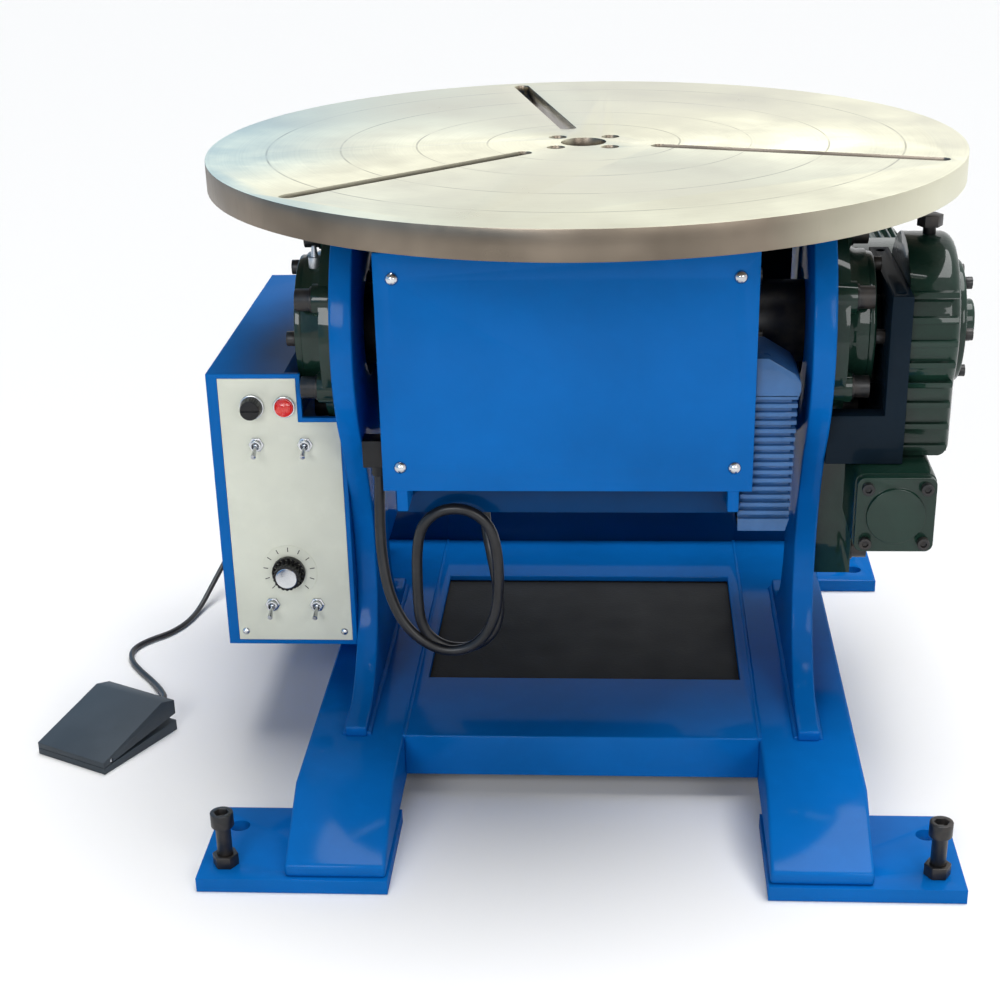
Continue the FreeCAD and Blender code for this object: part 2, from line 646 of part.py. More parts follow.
def flange_bearing(name, sign):
    """Cast bearing: a round base with six bolt bosses and a raised hub."""
    def disc(radius, long, near):
        start = "upright_out + %s" % near if sign > 0 else "-upright_out - (%s) - (%s)" % (near, long)
        return start, radius, long

    parts = []
    for radius, long, near in (("bearing_dia / 2", "bearing_base", "0"),
                               ("bearing_hub / 2", "bearing_thick", "0")):
        start, r, length = disc(radius, long, near)
        parts.append(rod("X", r, length, start, "axis_y", "axis_high"))
    foot_start = "upright_out + bearing_base" if sign > 0 else \
        "-upright_out - bearing_base - (bearing_thick - bearing_base) * 0.6"
    wide, thin = "bearing_hub / 2 + 6", "bearing_hub / 2"
    parts.append(cone("X", wide if sign > 0 else thin, thin if sign > 0 else wide,
                      "(bearing_thick - bearing_base) * 0.6", foot_start, "axis_y", "axis_high"))
    for y, z in around("bearing_pcd", SPOTS):
        start, r, length = disc("washer_dia / 2 + 3", "bearing_base + 7", "0")
        parts.append(rod("X", r, length, start, y, z))
    start, r, length = disc("bearing_bore", "bearing_thick + 2", "-1")
    bored = cut(fuse(*parts), rod("X", r, length, start, "axis_y", "axis_high"))
    return node(name, bored)


flange_bearing("flange_bearing_left", -1)
flange_bearing("flange_bearing_right", 1)
node("bearing_cap_left", cut(
    rod("X", "bearing_hub / 2 - 3", "cap_thick", "-cap_face", "axis_y", "axis_high"),
    rod("X", "24", "3", "-cap_face - 1", "axis_y", "axis_high")))
node("bearing_cap_right", cut(
    rod("X", "bearing_hub / 2 - 3", "cap_thick", "bearing_face", "axis_y", "axis_high"),
    rod("X", "bearing_bore", "cap_thick + 2", "bearing_face - 1", "axis_y", "axis_high")))


def bearing_screws(sign):
    seat = "(upright_out + bearing_base + 7)"
    near = "cap_face"
    parts = [cap_screw("X", sign, seat if sign > 0 else "-" + seat, y, z)
             for y, z in around("bearing_pcd", SPOTS)]
    parts += [cap_screw("X", sign, near if sign > 0 else "-" + near, y, z, "10", "16", False)
              for y, z in around("cap_pcd", (0, 90, 180, 270))]
    return group(*parts)


node("bearing_screws", group(bearing_screws(-1), bearing_screws(1)))
nipple = fuse(
    rod("Z", "7", "12", "-upright_out - bearing_thick * 0.7", "axis_y - bearing_hub * 0.2",
        "axis_high + bearing_hub * 0.45"),
    cone("Z", "4", "2.5", "12", "-upright_out - bearing_thick * 0.7", "axis_y - bearing_hub * 0.2",
         "axis_high + bearing_hub * 0.45 + 12"))
node("grease_nipple", cut(nipple, NODES["flange_bearing_left"]))

# ------------------------------------------------------------------ turning drive
motor = new_body("Motor", x="house_right", y="axis_y - motor_drop + 14")
pad(motor, outline(motor, "XZ_Plane", [
    ("0", "axis_high - motor_drop"), ("motor_out - 8", "axis_high - motor_drop"),
    ("motor_out", "axis_high - motor_drop + motor_high - motor_slope"),
    ("motor_out * 0.35", "axis_high - motor_drop + motor_high"),
    ("0", "axis_high - motor_drop + motor_high")]), "motor_deep", backward=True)
grooves = []
for i in range(9):
    low = "axis_high - motor_drop + 16 + %d * fin_pitch" % i
    grooves.append(box("house_right + 8", "axis_y - motor_drop + 13", low, "motor_out", "fin_deep + 1",
                       "fin_gap"))
    grooves.append(box("house_right + motor_out - 14", "axis_y - motor_drop + 13", low, "30",
                       "motor_deep + 2", "fin_gap"))
node("turning_motor", cut(motor, *grooves))
node("turning_gearcase", fillet(
    box("house_right - house_wall - drive_box", "pinion_y - drive_box / 2 + 6", "gear_z - 14 - drive_high",
        "drive_box", "drive_box - 12", "drive_high"), 12, lambda e: abs(e.tangentAt(0).z) > 0.9))

# ------------------------------------------------------------------ tilt reducer and its bracket
arm = fuse(
    box("arm_x", "axis_y - arm_deep / 2", "axis_high - arm_low", "arm_thick", "arm_deep",
        "arm_low + arm_high"),
    box("upright_out", "axis_y - arm_deep / 2", "axis_high - arm_low", "arm_off", "arm_leg_thick",
        "arm_leg"),
    box("upright_out", "axis_y + arm_deep / 2 - arm_leg_thick", "axis_high - arm_low", "arm_off",
        "arm_leg_thick", "arm_leg"))
arm_holes = [rod("X", "output_dia / 2 + 4", "arm_thick + 2", "arm_x - 1", "axis_y", "axis_high")]
for side in ("- (arm_deep / 2 - 16)", "+ (arm_deep / 2 - 16)"):
    arm_holes.append(rod("Z", "5", "30", "arm_x + arm_thick / 2", "axis_y " + side,
                         "axis_high + arm_high - 29"))
node("reducer_bracket", cut(arm, *arm_holes))


def case_profile(grow, x0, x1):
    """Reducer case: round about the output shaft and square below it."""
    long = "(%s) - (%s)" % (x1, x0)
    round_part = rod("X", "case_radius + %s" % grow, long, x0, "axis_y", "axis_high")
    block = box(x0, "axis_y - case_radius * 0.84 - %s" % grow, "axis_high - case_low", long,
                "case_radius * 1.68 + 2 * %s" % grow, "case_low")
    return fuse(round_part, block)


shell = case_profile("0", "case_x", "case_face")
shell = fillet(shell, 14, lambda e: e.BoundBox.XMin > size("case_face") - 0.1)
slabs = []
for i in range(8):
    slabs.append(box("case_x", "axis_y - 300", "axis_high - case_low + 8 + %d * rib_pitch" % i,
                     "case_thick - 5", "600", "rib_thick"))
ribs = doc.addObject("Part::Common", fresh("Ribs"))
ribs.Base = case_profile("rib_out", "case_x", "case_face - 5")
ribs.Tool = fuse(*slabs)
tunnel = box("worm_x - worm_side / 2", "worm_y0", "worm_z - worm_side / 2", "worm_side",
             "worm_y1 - worm_y0", "worm_side")
tunnel = fillet(tunnel, 10, lambda e: abs(e.tangentAt(0).y) > 0.9)
neck = box("case_x", "axis_y - case_radius * 0.6", "worm_z", "worm_x + worm_side / 2 - case_x",
           "case_radius * 1.2", "axis_high - case_low - worm_z + 20")
lug = box("upright_out", "axis_y - lug_deep / 2", "axis_high - lug_drop",
          "worm_x - upright_out - worm_side / 2 + 12", "lug_deep",
          "lug_drop - worm_drop + worm_side / 2 - 12")
bore = rod("X", "output_dia / 2 + spindle_fit", "case_thick * 0.6 + 2", "case_x - 1", "axis_y",
           "axis_high")
node("reducer_case", cut(fuse(shell, ribs, tunnel, neck, lug), bore))
lug_face = "(worm_x - worm_side / 2 + 12)"
reducer_screws = [cap_screw("X", 1, lug_face, "axis_y " + off, "axis_high - lug_drop + 24")
                  for off in ("- 20", "+ 20")]

node("reducer_side_cover", fuse(
    rod("X", "side_cover_dia / 2", "side_cover_thick", "case_face", "axis_y", "axis_high"),
    rod("X", "side_boss_dia / 2", "side_cover_thick + side_boss_out", "case_face", "axis_y",
        "axis_high")))
reducer_screws += [cap_screw("X", 1, "case_face + side_cover_thick", y, z, "8", "13", False)
                   for y, z in around("(side_cover_dia - 20)", (0, 60, 120, 180, 240, 300))]

worm_cover = new_body("WormCover", y="worm_y0")
pad(worm_cover, outline(worm_cover, "XZ_Plane", [
    ("worm_x - worm_side / 2 + 1", "worm_z - worm_side / 2 + 1"),
    ("worm_x + worm_side / 2 - 1", "worm_z - worm_side / 2 + 1"),
    ("worm_x + worm_side / 2 - 1", "worm_z + worm_side / 2 - 1"),
    ("worm_x - worm_side / 2 + 1", "worm_z + worm_side / 2 - 1")]), "worm_cover")
pad(worm_cover, circles(worm_cover, "XZ_Plane", [("worm_x", "worm_z", "worm_side * 0.36")]),
    "worm_cover + 5")
rounded = fillet(worm_cover, 9, lambda e: abs(e.tangentAt(0).y) > 0.9 and e.Length < 14)
node("worm_cover", rounded)
reducer_screws += [
    cap_screw("Y", -1, "worm_x %s (worm_side / 2 - 12)" % sx, "worm_y0 - worm_cover",
              "worm_z %s (worm_side / 2 - 12)" % sz, "8", "13", False)
    for sx in "-+" for sz in "-+"]
node("reducer_screws", group(*reducer_screws))
plug = fuse(
    rod("Z", "7", "14", "case_x + case_thick / 2", "axis_y", "axis_high + case_radius - 4"),
    hexagon("Z", "24", "12", "case_x + case_thick / 2", "axis_y", "axis_high + case_radius + 8"))
node("breather_plug", cut(plug, NODES["reducer_case"]))

link = box("worm_x - worm_side / 2", "worm_y1", "worm_z - worm_side / 2", "worm_side", "link_deep",
           "link_high")
link = fillet(link, 12, lambda e: abs(e.tangentAt(0).y) > 0.9)
node("input_gearcase", link)
drive_z = "(worm_z - worm_side / 2 + link_high - drive_dia / 2 - 2)"
drive = new_body("Drive", x="worm_x", y="worm_y1 + link_deep", z=drive_z,
                 turn=Rotation(Vector(1, 0, 0), -90))
pad(drive, circles(drive, "XY_Plane", [("0", "0", "drive_dia / 2 - 8")]), "drive_len")
fin = outline(drive, "XY_Plane", [
    ("drive_dia / 2 - 12", "-1.5"), ("drive_dia / 2", "-1.2"), ("drive_dia / 2", "1.2"),
    ("drive_dia / 2 - 12", "1.5")])
ring_of(drive, pad(drive, fin, "drive_len"), "drive_fins")
node("tilt_motor", drive)
bell = new_body("Bell", x="worm_x", y="worm_y1 + link_deep + drive_len", z=drive_z,
                turn=Rotation(Vector(1, 0, 0), -90))
pad(bell, circles(bell, "XY_Plane", [("0", "0", "drive_dia / 2 - 1")]), "drive_bell")
bell_cut = pocket(bell, circles(bell, "XY_Plane", [("drive_dia / 2 * 0.55", "0", "4")]))
ring_of(bell, bell_cut, "8")
node("fan_cowl", fillet(bell, 8, lambda e: e.BoundBox.YMin > size("worm_y1") + size("link_deep")
                        + size("drive_len") + size("drive_bell") - 0.1 and e.Length > 200))

# ------------------------------------------------------------------ control box
def stepped(inset, y0, y1, left="0", wide="notch_width", high="notch_height"):
    """The box's outline, with its upper right corner stepped round the bearing."""
    deep = "(%s) - (%s)" % (y1, y0)
    x0 = "box_x0 + %s + %s" % (inset, left)
    return fuse(
        box(x0, y0, "box_low + %s" % inset, "box_width - 2 * (%s) - %s" % (inset, left), deep,
            "box_height - %s - 2 * (%s)" % (high, inset)),
        box(x0, y0, "box_low + %s" % inset, "box_width - %s - 2 * (%s) - %s" % (wide, inset, left),
            deep, "box_height - 2 * (%s)" % inset))


BROW = {"wide": "brow_width", "high": "brow_height"}
outer = fuse(stepped("0", "box_front", "box_front + brow_deep", **BROW),
             stepped("0", "box_front", "box_front + box_depth"))
inner = stepped("box_wall", "box_front + box_wall", "box_front + box_depth - box_wall")
opening = stepped("panel_inset", "box_front - 1", "box_front + box_wall + 1", "border", **BROW)
node("control_box", cut(outer, inner, opening))
node("control_panel", stepped("(panel_inset + panel_play)", "box_front + 0.4",
                              "box_front + box_wall", "border", **BROW))
PANEL = "box_front + 0.4"


def on_panel(u, w):
    """A place on the panel: u across from its left edge, w down from its top edge."""
    return ("panel_x0 + border + %s * (panel_x1 - panel_x0 - border)" % u,
            "panel_z1 - %s * (panel_z1 - panel_z0)" % w)


def stand_off(radius, high, u, w, lift="0", radius2=None):
    """A round piece on the panel that stands out towards the front."""
    x, z = on_panel(u, w)
    y = PANEL + " - (%s) - (%s)" % (lift, high)
    if radius2 is None:
        return rod("Y", radius, high, x, y, z)
    return cone("Y", radius2, radius, high, x, y, z)


fuse_ring = stand_off("fuse_dia / 2", "5", 0.28, 0.10)
node("fuse_cap", cut(
    stand_off("fuse_dia / 2 - 1", "13", 0.28, 0.10, "5", "fuse_dia / 2 - 3"),
    box(on_panel(0.28, 0.10)[0] + " - fuse_dia", PANEL + " - 19", on_panel(0.28, 0.10)[1] + " - 1.2",
        "2 * fuse_dia", "3", "2.4")))
node("panel_bezels", group(fuse_ring, cut(stand_off("lamp_dia / 2", "5", 0.55, 0.10),
                                          stand_off("lamp_dia / 2 - 2", "6", 0.55, 0.10, "2"))))


def lens():
    x, z = on_panel(0.55, 0.10)
    ball = doc.addObject("Part::Sphere", fresh("Ball"))
    bind(ball, Radius="lamp_dia * 0.6")
    at(ball, x, PANEL + " - 12 + lamp_dia * 0.6", z)
    dome = doc.addObject("Part::Common", fresh("Dome"))
    dome.Base = ball
    dome.Tool = stand_off("lamp_dia / 2 - 2", "20", 0.55, 0.10, "2")
    return dome


node("pilot_lamp", lens())
TOGGLES = ((0.29, 0.24), (0.70, 0.24), (0.32, 0.855), (0.71, 0.855))
bushings = []
for u, w in TOGGLES:
    x, z = on_panel(u, w)
    nut = hexagon("Y", "toggle_dia + 3", "2.5", x, PANEL + " - 2.5", z)
    sleeve = stand_off("toggle_dia / 2", "8", u, w)
    bushings.append(cut(fuse(nut, sleeve), stand_off("toggle_dia / 2 - 1.8", "8", u, w, "1.6")))
node("toggle_bushings", group(*bushings))
for number, (u, w) in enumerate(TOGGLES, 1):
    x, z = on_panel(u, w)
    lever = cone("Z", "toggle_dia * 0.14", "toggle_dia * 0.24", "lever_len", x, PANEL + " - 5", z)
    lever.Placement = Placement(Vector(), Rotation(Vector(1, 0, 0), 110))
    knuckle = doc.addObject("Part::Sphere", fresh("Ball"))
    bind(knuckle, Radius="toggle_dia * 0.24")
    at(knuckle, x, PANEL + " - 5", z)
    node("toggle_lever_%d" % number, fuse(lever, knuckle))

node("speed_dial", cut(stand_off("dial_dia / 2", "0.8", 0.485, 0.725),
                       stand_off("6", "3", 0.485, 0.725, "-1")))
knob = new_body("Knob", x=on_panel(0.485, 0.725)[0], y=PANEL + " - 1.2",
                z=on_panel(0.485, 0.725)[1], turn=Rotation(Vector(1, 0, 0), 90))
pad(knob, circles(knob, "XY_Plane", [("0", "0", "knob_dia / 2")]), "knob_high * 0.3")
pad(knob, circles(knob, "XY_Plane", [("0", "0", "knob_dia * 0.4")]), "knob_high")
flute = pocket(knob, circles(knob, "XY_Plane", [("knob_dia * 0.43", "0", "knob_dia * 0.055")]))
ring_of(knob, flute, "18")
node("speed_knob", knob)
node("panel_screws", group(*[
    dome_screw(on_panel(u, 0.965)[0], PANEL, on_panel(u, 0.965)[1], "5") for u in (0.065, 0.93)]))

# ------------------------------------------------------------------ foot pedal
def in_pedal(obj):
    """Carry a piece from the pedal's own corner to its place on the floor."""
    doc.recompute()
    moved = doc.addObject("Part::Feature", fresh("Placed"))
    moved.Shape = Part.Compound([obj.Shape])
    moved.Placement = Placement(Vector(size("pedal_x"), size("pedal_y"), 0),
                                Rotation(Vector(0, 0, 1), size("pedal_turn")))
    return moved


def pedal_wedge(stem, points, inset="0"):
    body = new_body(stem, x=inset)
    pad(body, outline(body, "YZ_Plane", points), "pedal_width - 2 * (%s)" % inset)
    return body


tray = pedal_wedge("Tray", [("0", "0"), ("pedal_length", "0"),
                            ("pedal_length", "pedal_toe - 2"), ("0", "pedal_toe * 0.5")])
top = pedal_wedge("Tread", [("0", "pedal_toe * 0.5 + pedal_gap"),
                            ("pedal_length", "pedal_toe + 7"), ("pedal_length", "pedal_high - 6"),
                            ("pedal_length * 0.83", "pedal_high"), ("0", "pedal_toe")])
pin_y, pin_z = "8 + pedal_pin", "pedal_toe * 0.5 + pedal_pin * 0.5 + 1.5"
ears, slots = [], []
for x in ("pedal_width * 0.2", "pedal_width * 0.8 - 6"):
    ears.append(box(x, pin_y + " - pedal_pin", "pedal_toe * 0.4", "6", "2 * pedal_pin",
                    "pedal_pin * 1.6"))
    slots.append(box(x + " - 0.5", pin_y + " - pedal_pin - 1.5", "0", "7", "2 * pedal_pin + 3",
                     "pedal_toe * 0.4 + pedal_pin * 1.6 + 1.2"))
pin_hole = rod("X", "pedal_pin / 2", "pedal_width + 2", "-1", pin_y, pin_z)
tread_hole = rod("X", "pedal_pin / 2 + 0.06", "pedal_width + 2", "-1", pin_y, pin_z)
node("pedal_base", in_pedal(cut(fuse(tray, *ears), pin_hole)))
node("pedal_tread", in_pedal(cut(top, tread_hole, *slots)))
node("pedal_pin", in_pedal(rod("X", "pedal_pin / 2", "pedal_width - 4", "2", pin_y, pin_z)))

# ------------------------------------------------------------------ leads
def lead(name, points, dia, least):
    """A round lead along straight runs joined by tangent arcs."""
    spots = [Vector(*p) for p in points]
    edges, here, radii = [], spots[0], []
    for before, corner, after in zip(spots, spots[1:], spots[2:]):
        back, on = (before - corner).normalize(), (after - corner).normalize()
        half = (math.pi - back.getAngle(on)) / 2
        trim = 0.45 * min((before - corner).Length, (after - corner).Length)
        radius = trim / math.tan(half)
        radii.append(radius)
        start, end = corner + back * trim, corner + on * trim
        centre = corner + (back + on).normalize() * (radius / math.cos(half))
        middle = centre + (corner - centre).normalize() * radius
        edges += [Part.LineSegment(here, start).toShape(), Part.Arc(start, middle, end).toShape()]
        here = end
    edges.append(Part.LineSegment(here, spots[-1]).toShape())
    path = Part.Wire(edges)
    ring = Part.Wire([Part.Circle(spots[0], spots[1] - spots[0], dia / 2).toShape()])
    obj = doc.addObject("Part::Feature", fresh("Lead"))
    obj.Shape = path.makePipeShell([ring], True, False)
    expected = math.pi * dia * dia / 4 * path.Length
    print("%s: length %.0f, least radius %.1f of %.0f, volume %.4f of section x length" % (
        name, path.Length, min(radii), least, obj.Shape.Volume / expected))
    print("   radii", " ".join("%.0f" % r for r in radii))
    return node(name, obj)


turn_angle = math.radians(size("pedal_turn"))


def pedal_spot(x, y, z):
    return (size("pedal_x") + x * math.cos(turn_angle) - y * math.sin(turn_angle),
            size("pedal_y") + x * math.sin(turn_angle) + y * math.cos(turn_angle), z)


exit_high = size("pedal_toe") - 2 - size("cord_dia") / 2 - 1.5
node("pedal_gland", in_pedal(rod("Y", "cord_dia / 2 + 1.8", "14", "pedal_width / 2",
                                 "pedal_length", "pedal_toe - 3.5 - cord_dia / 2")))
gland_high = 190
node("box_gland", fuse(
    rod("Y", "cord_dia / 2 + 2.5", "16", "box_x0 + 27", "box_front + box_depth", str(gland_high)),
    hexagon("Y", "cord_dia * 2 + 4", "6", "box_x0 + 27", "box_front + box_depth", str(gland_high))))
floor = size("cord_dia") / 2 + 0.8
back_of_box = size("box_front") + size("box_depth")
cord_x = size("box_x0") + 27
lead("pedal_cord", [
    (cord_x, back_of_box + 16, gland_high), (cord_x, back_of_box + 52, gland_high),
    (cord_x - 16, back_of_box + 86, gland_high - 26), (cord_x - 52, back_of_box + 96, gland_high - 66),
    (-480, 366, 88), (-507, 318, 54), (-525, 270, 24), (-536, 228, floor + 2), (-544, 190, floor),
    (-560, 156, floor), (-584, 134, floor), (-600, 106, floor), (-594, 74, floor),
    (-575, 44, floor), (-553, 16, floor), (-534, -14, floor + 2),
    pedal_spot(size("pedal_width") / 2, size("pedal_length") + 42, exit_high),
    pedal_spot(size("pedal_width") / 2, size("pedal_length") + 14, exit_high)],
    size("cord_dia"), 3 * size("cord_dia"))

# The tilt lead leaves an elbow on the left upright, hangs in two loops and ends in a gland under
# the housing's cross bar.
node("lead_elbow", fuse(
    box("-upright_in", "axis_y - 108 - 13", "axis_high - 128", "lead_dia + 14", "26", "30"),
    rod("Z", "lead_dia / 2 + 3", "13", "-upright_in + 16", "axis_y - 108", "axis_high - 140")))
node("lead_gland", fuse(
    rod("Z", "lead_dia / 2 + 3", "10", "-108", "axis_y - house_front + 80",
        "axis_high - house_low - 10"),
    hexagon("Z", "lead_dia * 2 + 4", "4", "-108", "axis_y - house_front + 80",
            "axis_high - house_low - 4")))
gland_y = size("axis_y") - size("house_front") + 80
gland_z = size("axis_high") - size("house_low") - 10
elbow = (-size("upright_in") + 16, size("axis_y") - 108, size("axis_high") - 141.2)
lead("tilt_lead", [
    elbow, (-224, -166, 304), (-222, -178, 256), (-213, -188, 210), (-192, -193, 172),
    (-156, -196, 150), (-118, -198, 158), (-96, -200, 192), (-90, -202, 238), (-92, -203, 281),
    (-100, -203, 309), (-122, -203, 326), (-150, -202, 326), (-172, -200, 309), (-180, -197, 281),
    (-182, -194, 232), (-181, -191, 178), (-155, -188, 152), (-118, -186, 152), (-92, -184, 178),
    (-93, -180, 224), (-101, -172, 264),
    (-108, gland_y, gland_z - 34), (-108, gland_y, gland_z)],
    size("lead_dia"), 3 * size("lead_dia"))

# ------------------------------------------------------------------ check and export
doc.recompute()
for obj in doc.Objects:
    if any(flag in obj.State for flag in ("Invalid", "Error")):
        raise SystemExit("%s (%s) failed: %s" % (obj.Name, obj.Label, obj.State))
for name, obj in NODES.items():
    if obj.Shape.isNull() or not obj.Shape.isValid():
        raise SystemExit("%s has no valid shape" % name)

os.makedirs("parts", exist_ok=True)
for name, obj in NODES.items():
    obj.Shape.exportStep("parts/%s.step" % name)
    where = obj.Shape.BoundBox
    print("%-22s solids %2d  volume %9.0f  x %7.1f %7.1f  y %7.1f %7.1f  z %7.1f %7.1f" % (
        name, len(obj.Shape.Solids), obj.Shape.Volume, where.XMin, where.XMax, where.YMin,
        where.YMax, where.ZMin, where.ZMax))
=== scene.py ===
import json
import math

import bmesh
import bpy
from bpy.props import FloatProperty, FloatVectorProperty, IntProperty, PointerProperty
from mathutils import Matrix, Vector, noise


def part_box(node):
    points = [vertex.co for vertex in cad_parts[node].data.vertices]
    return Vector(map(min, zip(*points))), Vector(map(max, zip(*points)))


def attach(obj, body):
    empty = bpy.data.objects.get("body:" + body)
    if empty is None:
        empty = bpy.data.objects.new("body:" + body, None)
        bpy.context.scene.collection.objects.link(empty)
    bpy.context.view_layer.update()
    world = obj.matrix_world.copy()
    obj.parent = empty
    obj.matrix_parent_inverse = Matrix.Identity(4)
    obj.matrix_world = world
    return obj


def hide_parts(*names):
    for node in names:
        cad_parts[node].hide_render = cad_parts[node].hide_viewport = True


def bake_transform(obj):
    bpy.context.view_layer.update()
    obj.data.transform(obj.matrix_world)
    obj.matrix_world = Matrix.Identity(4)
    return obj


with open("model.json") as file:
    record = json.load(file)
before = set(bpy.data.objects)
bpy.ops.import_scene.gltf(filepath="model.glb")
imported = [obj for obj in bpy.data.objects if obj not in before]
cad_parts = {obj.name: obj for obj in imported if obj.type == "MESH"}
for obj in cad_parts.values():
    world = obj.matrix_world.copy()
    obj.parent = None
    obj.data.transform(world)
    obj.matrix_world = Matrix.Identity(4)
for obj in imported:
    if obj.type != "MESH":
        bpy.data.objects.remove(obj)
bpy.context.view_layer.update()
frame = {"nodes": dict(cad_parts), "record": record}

bl_info = {
    "name": "Welding positioner",
    "version": (1, 0, 0),
    "blender": (4, 5, 0),
    "location": "View3D > Sidebar > Positioner",
    "description": "Finishes a slotted, tilting welding table with its drives and switch box",
    "category": "Object",
}

NODES = frame["nodes"]
BODY_OF = {node: body for body, nodes in frame["record"]["behaviour"]["bodies"].items()
           for node in nodes}
TABLE_AXIS = Vector((0.0, -0.052, 0.686))
# The cover is shorter than its solid by these at the top and foot; its lap past each side wall.
COVER_TOP_TRIM, COVER_FOOT_TRIM, COVER_LAP = 0.019, 0.035, 0.014
# Folded sheet's thickness, and the sill's reach below and above the housing's floor.
SHEET, SILL_DROP, SILL_RISE, SILL_LIP = 0.003, 0.019, 0.024, 0.05
# How far the housing's wings stand behind the table's axis, and how deep their roof is.
WING_BEHIND, WING_ROOF = 0.088, 0.09
# The dark sheet under the deck's window, painted shade that stands for the shadow seen through the
# window: its place below the deck's top, and its rim.
WINDOW_DROP, WINDOW_SHEET, WINDOW_RIM = 0.0085, 0.002, 0.016
# The turning motor's fins: the gap between two, and their number.
FIN_GAP, FIN_COUNT = 0.0044, 15
PEDAL_CORD_WIDTH, TILT_LEAD_WIDTH = 0.007, 0.012
# The circles scribed in the table, as shares of its radius.
SCRIBED_CIRCLES = (0.256, 0.444, 0.645, 0.84)
WELD_SIDES = 8
TABLE_RADIUS = (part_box("table")[1][0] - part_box("table")[0][0]) / 2

# Control points of the two leads, in metres.
PEDAL_CORD = [
    (-0.385, 0.308, 0.190), (-0.385, 0.344, 0.190), (-0.401, 0.378, 0.164), (-0.437, 0.388, 0.124),
    (-0.480, 0.366, 0.088), (-0.507, 0.318, 0.054), (-0.525, 0.270, 0.024), (-0.536, 0.228, 0.0063),
    (-0.544, 0.190, 0.0043), (-0.560, 0.156, 0.0043), (-0.584, 0.134, 0.0043),
    (-0.600, 0.106, 0.0043), (-0.594, 0.074, 0.0043), (-0.575, 0.044, 0.0043),
    (-0.553, 0.016, 0.0043), (-0.534, -0.014, 0.0063), (-0.51977, -0.04490, 0.008),
    (-0.53292, -0.06962, 0.008)]
TILT_LEAD = [
    (-0.222, -0.160, 0.3488), (-0.224, -0.166, 0.304), (-0.222, -0.178, 0.256),
    (-0.213, -0.188, 0.210), (-0.192, -0.193, 0.172), (-0.156, -0.196, 0.150),
    (-0.118, -0.198, 0.158), (-0.096, -0.200, 0.192), (-0.090, -0.202, 0.238),
    (-0.092, -0.203, 0.281), (-0.100, -0.203, 0.309), (-0.122, -0.203, 0.326),
    (-0.150, -0.202, 0.326), (-0.172, -0.200, 0.309), (-0.180, -0.197, 0.281),
    (-0.182, -0.194, 0.232), (-0.181, -0.191, 0.178), (-0.155, -0.188, 0.152),
    (-0.118, -0.186, 0.152), (-0.092, -0.184, 0.178), (-0.093, -0.180, 0.224),
    (-0.101, -0.172, 0.264), (-0.108, -0.154, 0.291), (-0.108, -0.154, 0.325)]


def linear(code):
    """The scene-linear colour of an sRGB hex code."""
    parts = [int(code[i:i + 2], 16) / 255 for i in (1, 3, 5)]
    return tuple(c / 12.92 if c <= 0.04045 else ((c + 0.055) / 1.055) ** 2.4 for c in parts)


def colour(name, description, code):
    """A colour that a user can change."""
    return FloatVectorProperty(name=name, description=description, subtype="COLOR", size=3,
                               min=0, max=1, default=linear(code))


def width(name, description, default):
    """A small length that a user can change."""
    return FloatProperty(name=name, description=description, unit="LENGTH", subtype="DISTANCE",
                         min=0, max=0.05, precision=4, default=default)


class PositionerFinish(bpy.types.PropertyGroup):
    enamel: colour("Enamel", "Sprayed blue enamel of the base and housing", "#0866B6")
    steel: colour("Table steel", "Ground face of the turntable", "#E3E1CA")
    bright: colour("Bright steel", "Turned and plated steel", "#C9CBCE")
    oxide: colour("Black oxide", "Blackened cap screws and bracket", "#141517")
    casting: colour("Casting enamel", "Dark green enamel on the castings", "#142E25")
    bracket: colour("Bracket", "Blue-black enamel of the reducer's bracket", "#15222D")
    motor: colour("Motor enamel", "Blue-grey enamel of the turning motor", "#355F90")
    panel: colour("Panel", "Cream coat of the switch panel", "#DDE0D2")
    pedal: colour("Pedal", "Moulded slate plastic of the pedal", "#3A4249")
    cable: colour("Cable", "Black jacket of the leads", "#141416")
    lens: colour("Lamp", "Red lens of the pilot lamp", "#D2261C")
    floor: colour("Floor", "Pale studio floor", "#F3F3F3")


class PositionerSizes(bpy.types.PropertyGroup):
    fold: width("Fold radius", "Rounding along folded and flame-cut edges", 0.006)
    edge: width("Edge break", "Rounding of machined edges", 0.0012)
    casting: width("Casting radius", "Rounding of cast edges", 0.003)
    fin_depth: width("Fin depth", "Depth of the turning motor's fins", 0.006)
    weld: width("Weld width", "Width of the fillet welds", 0.009)
    ripple: width("Weld ripple", "Pitch of the ripples in a weld", 0.0035)
    scribe: width("Scribed line", "Width of the circles scribed in the table", 0.0012)
    dial_marks: IntProperty(name="Dial marks", description="Marks on the speed dial's scale",
                            min=2, max=60, default=11)


# ------------------------------------------------------------------ materials
def add(tree, kind, inputs=None, **settings):
    """Adds one node with its settings; an input is linked to a socket or set to a value."""
    node = tree.nodes.new("ShaderNode" + kind)
    for name, value in settings.items():
        setattr(node, name, value)
    for name, value in (inputs or {}).items():
        socket = node.inputs[name]
        if isinstance(value, bpy.types.NodeSocket):
            tree.links.new(value, socket)
        elif socket.type == "RGBA" and len(value) == 3:
            socket.default_value = (*value, 1)
        else:
            socket.default_value = value
    return node


def new_material(name, **values):
    """A material with its shader's plain values set; returns it with its tree and shader."""
    material = bpy.data.materials.new(name)
    material.use_nodes = True
    tree = material.node_tree
    shader = tree.nodes["Principled BSDF"]
    for key, value in values.items():
        socket = shader.inputs[key.replace("_", " ")]
        socket.default_value = (*value, 1) if socket.type == "RGBA" else value
    return material, tree, shader


def shade(base, factor):
    return tuple(min(1, c * factor) for c in base)


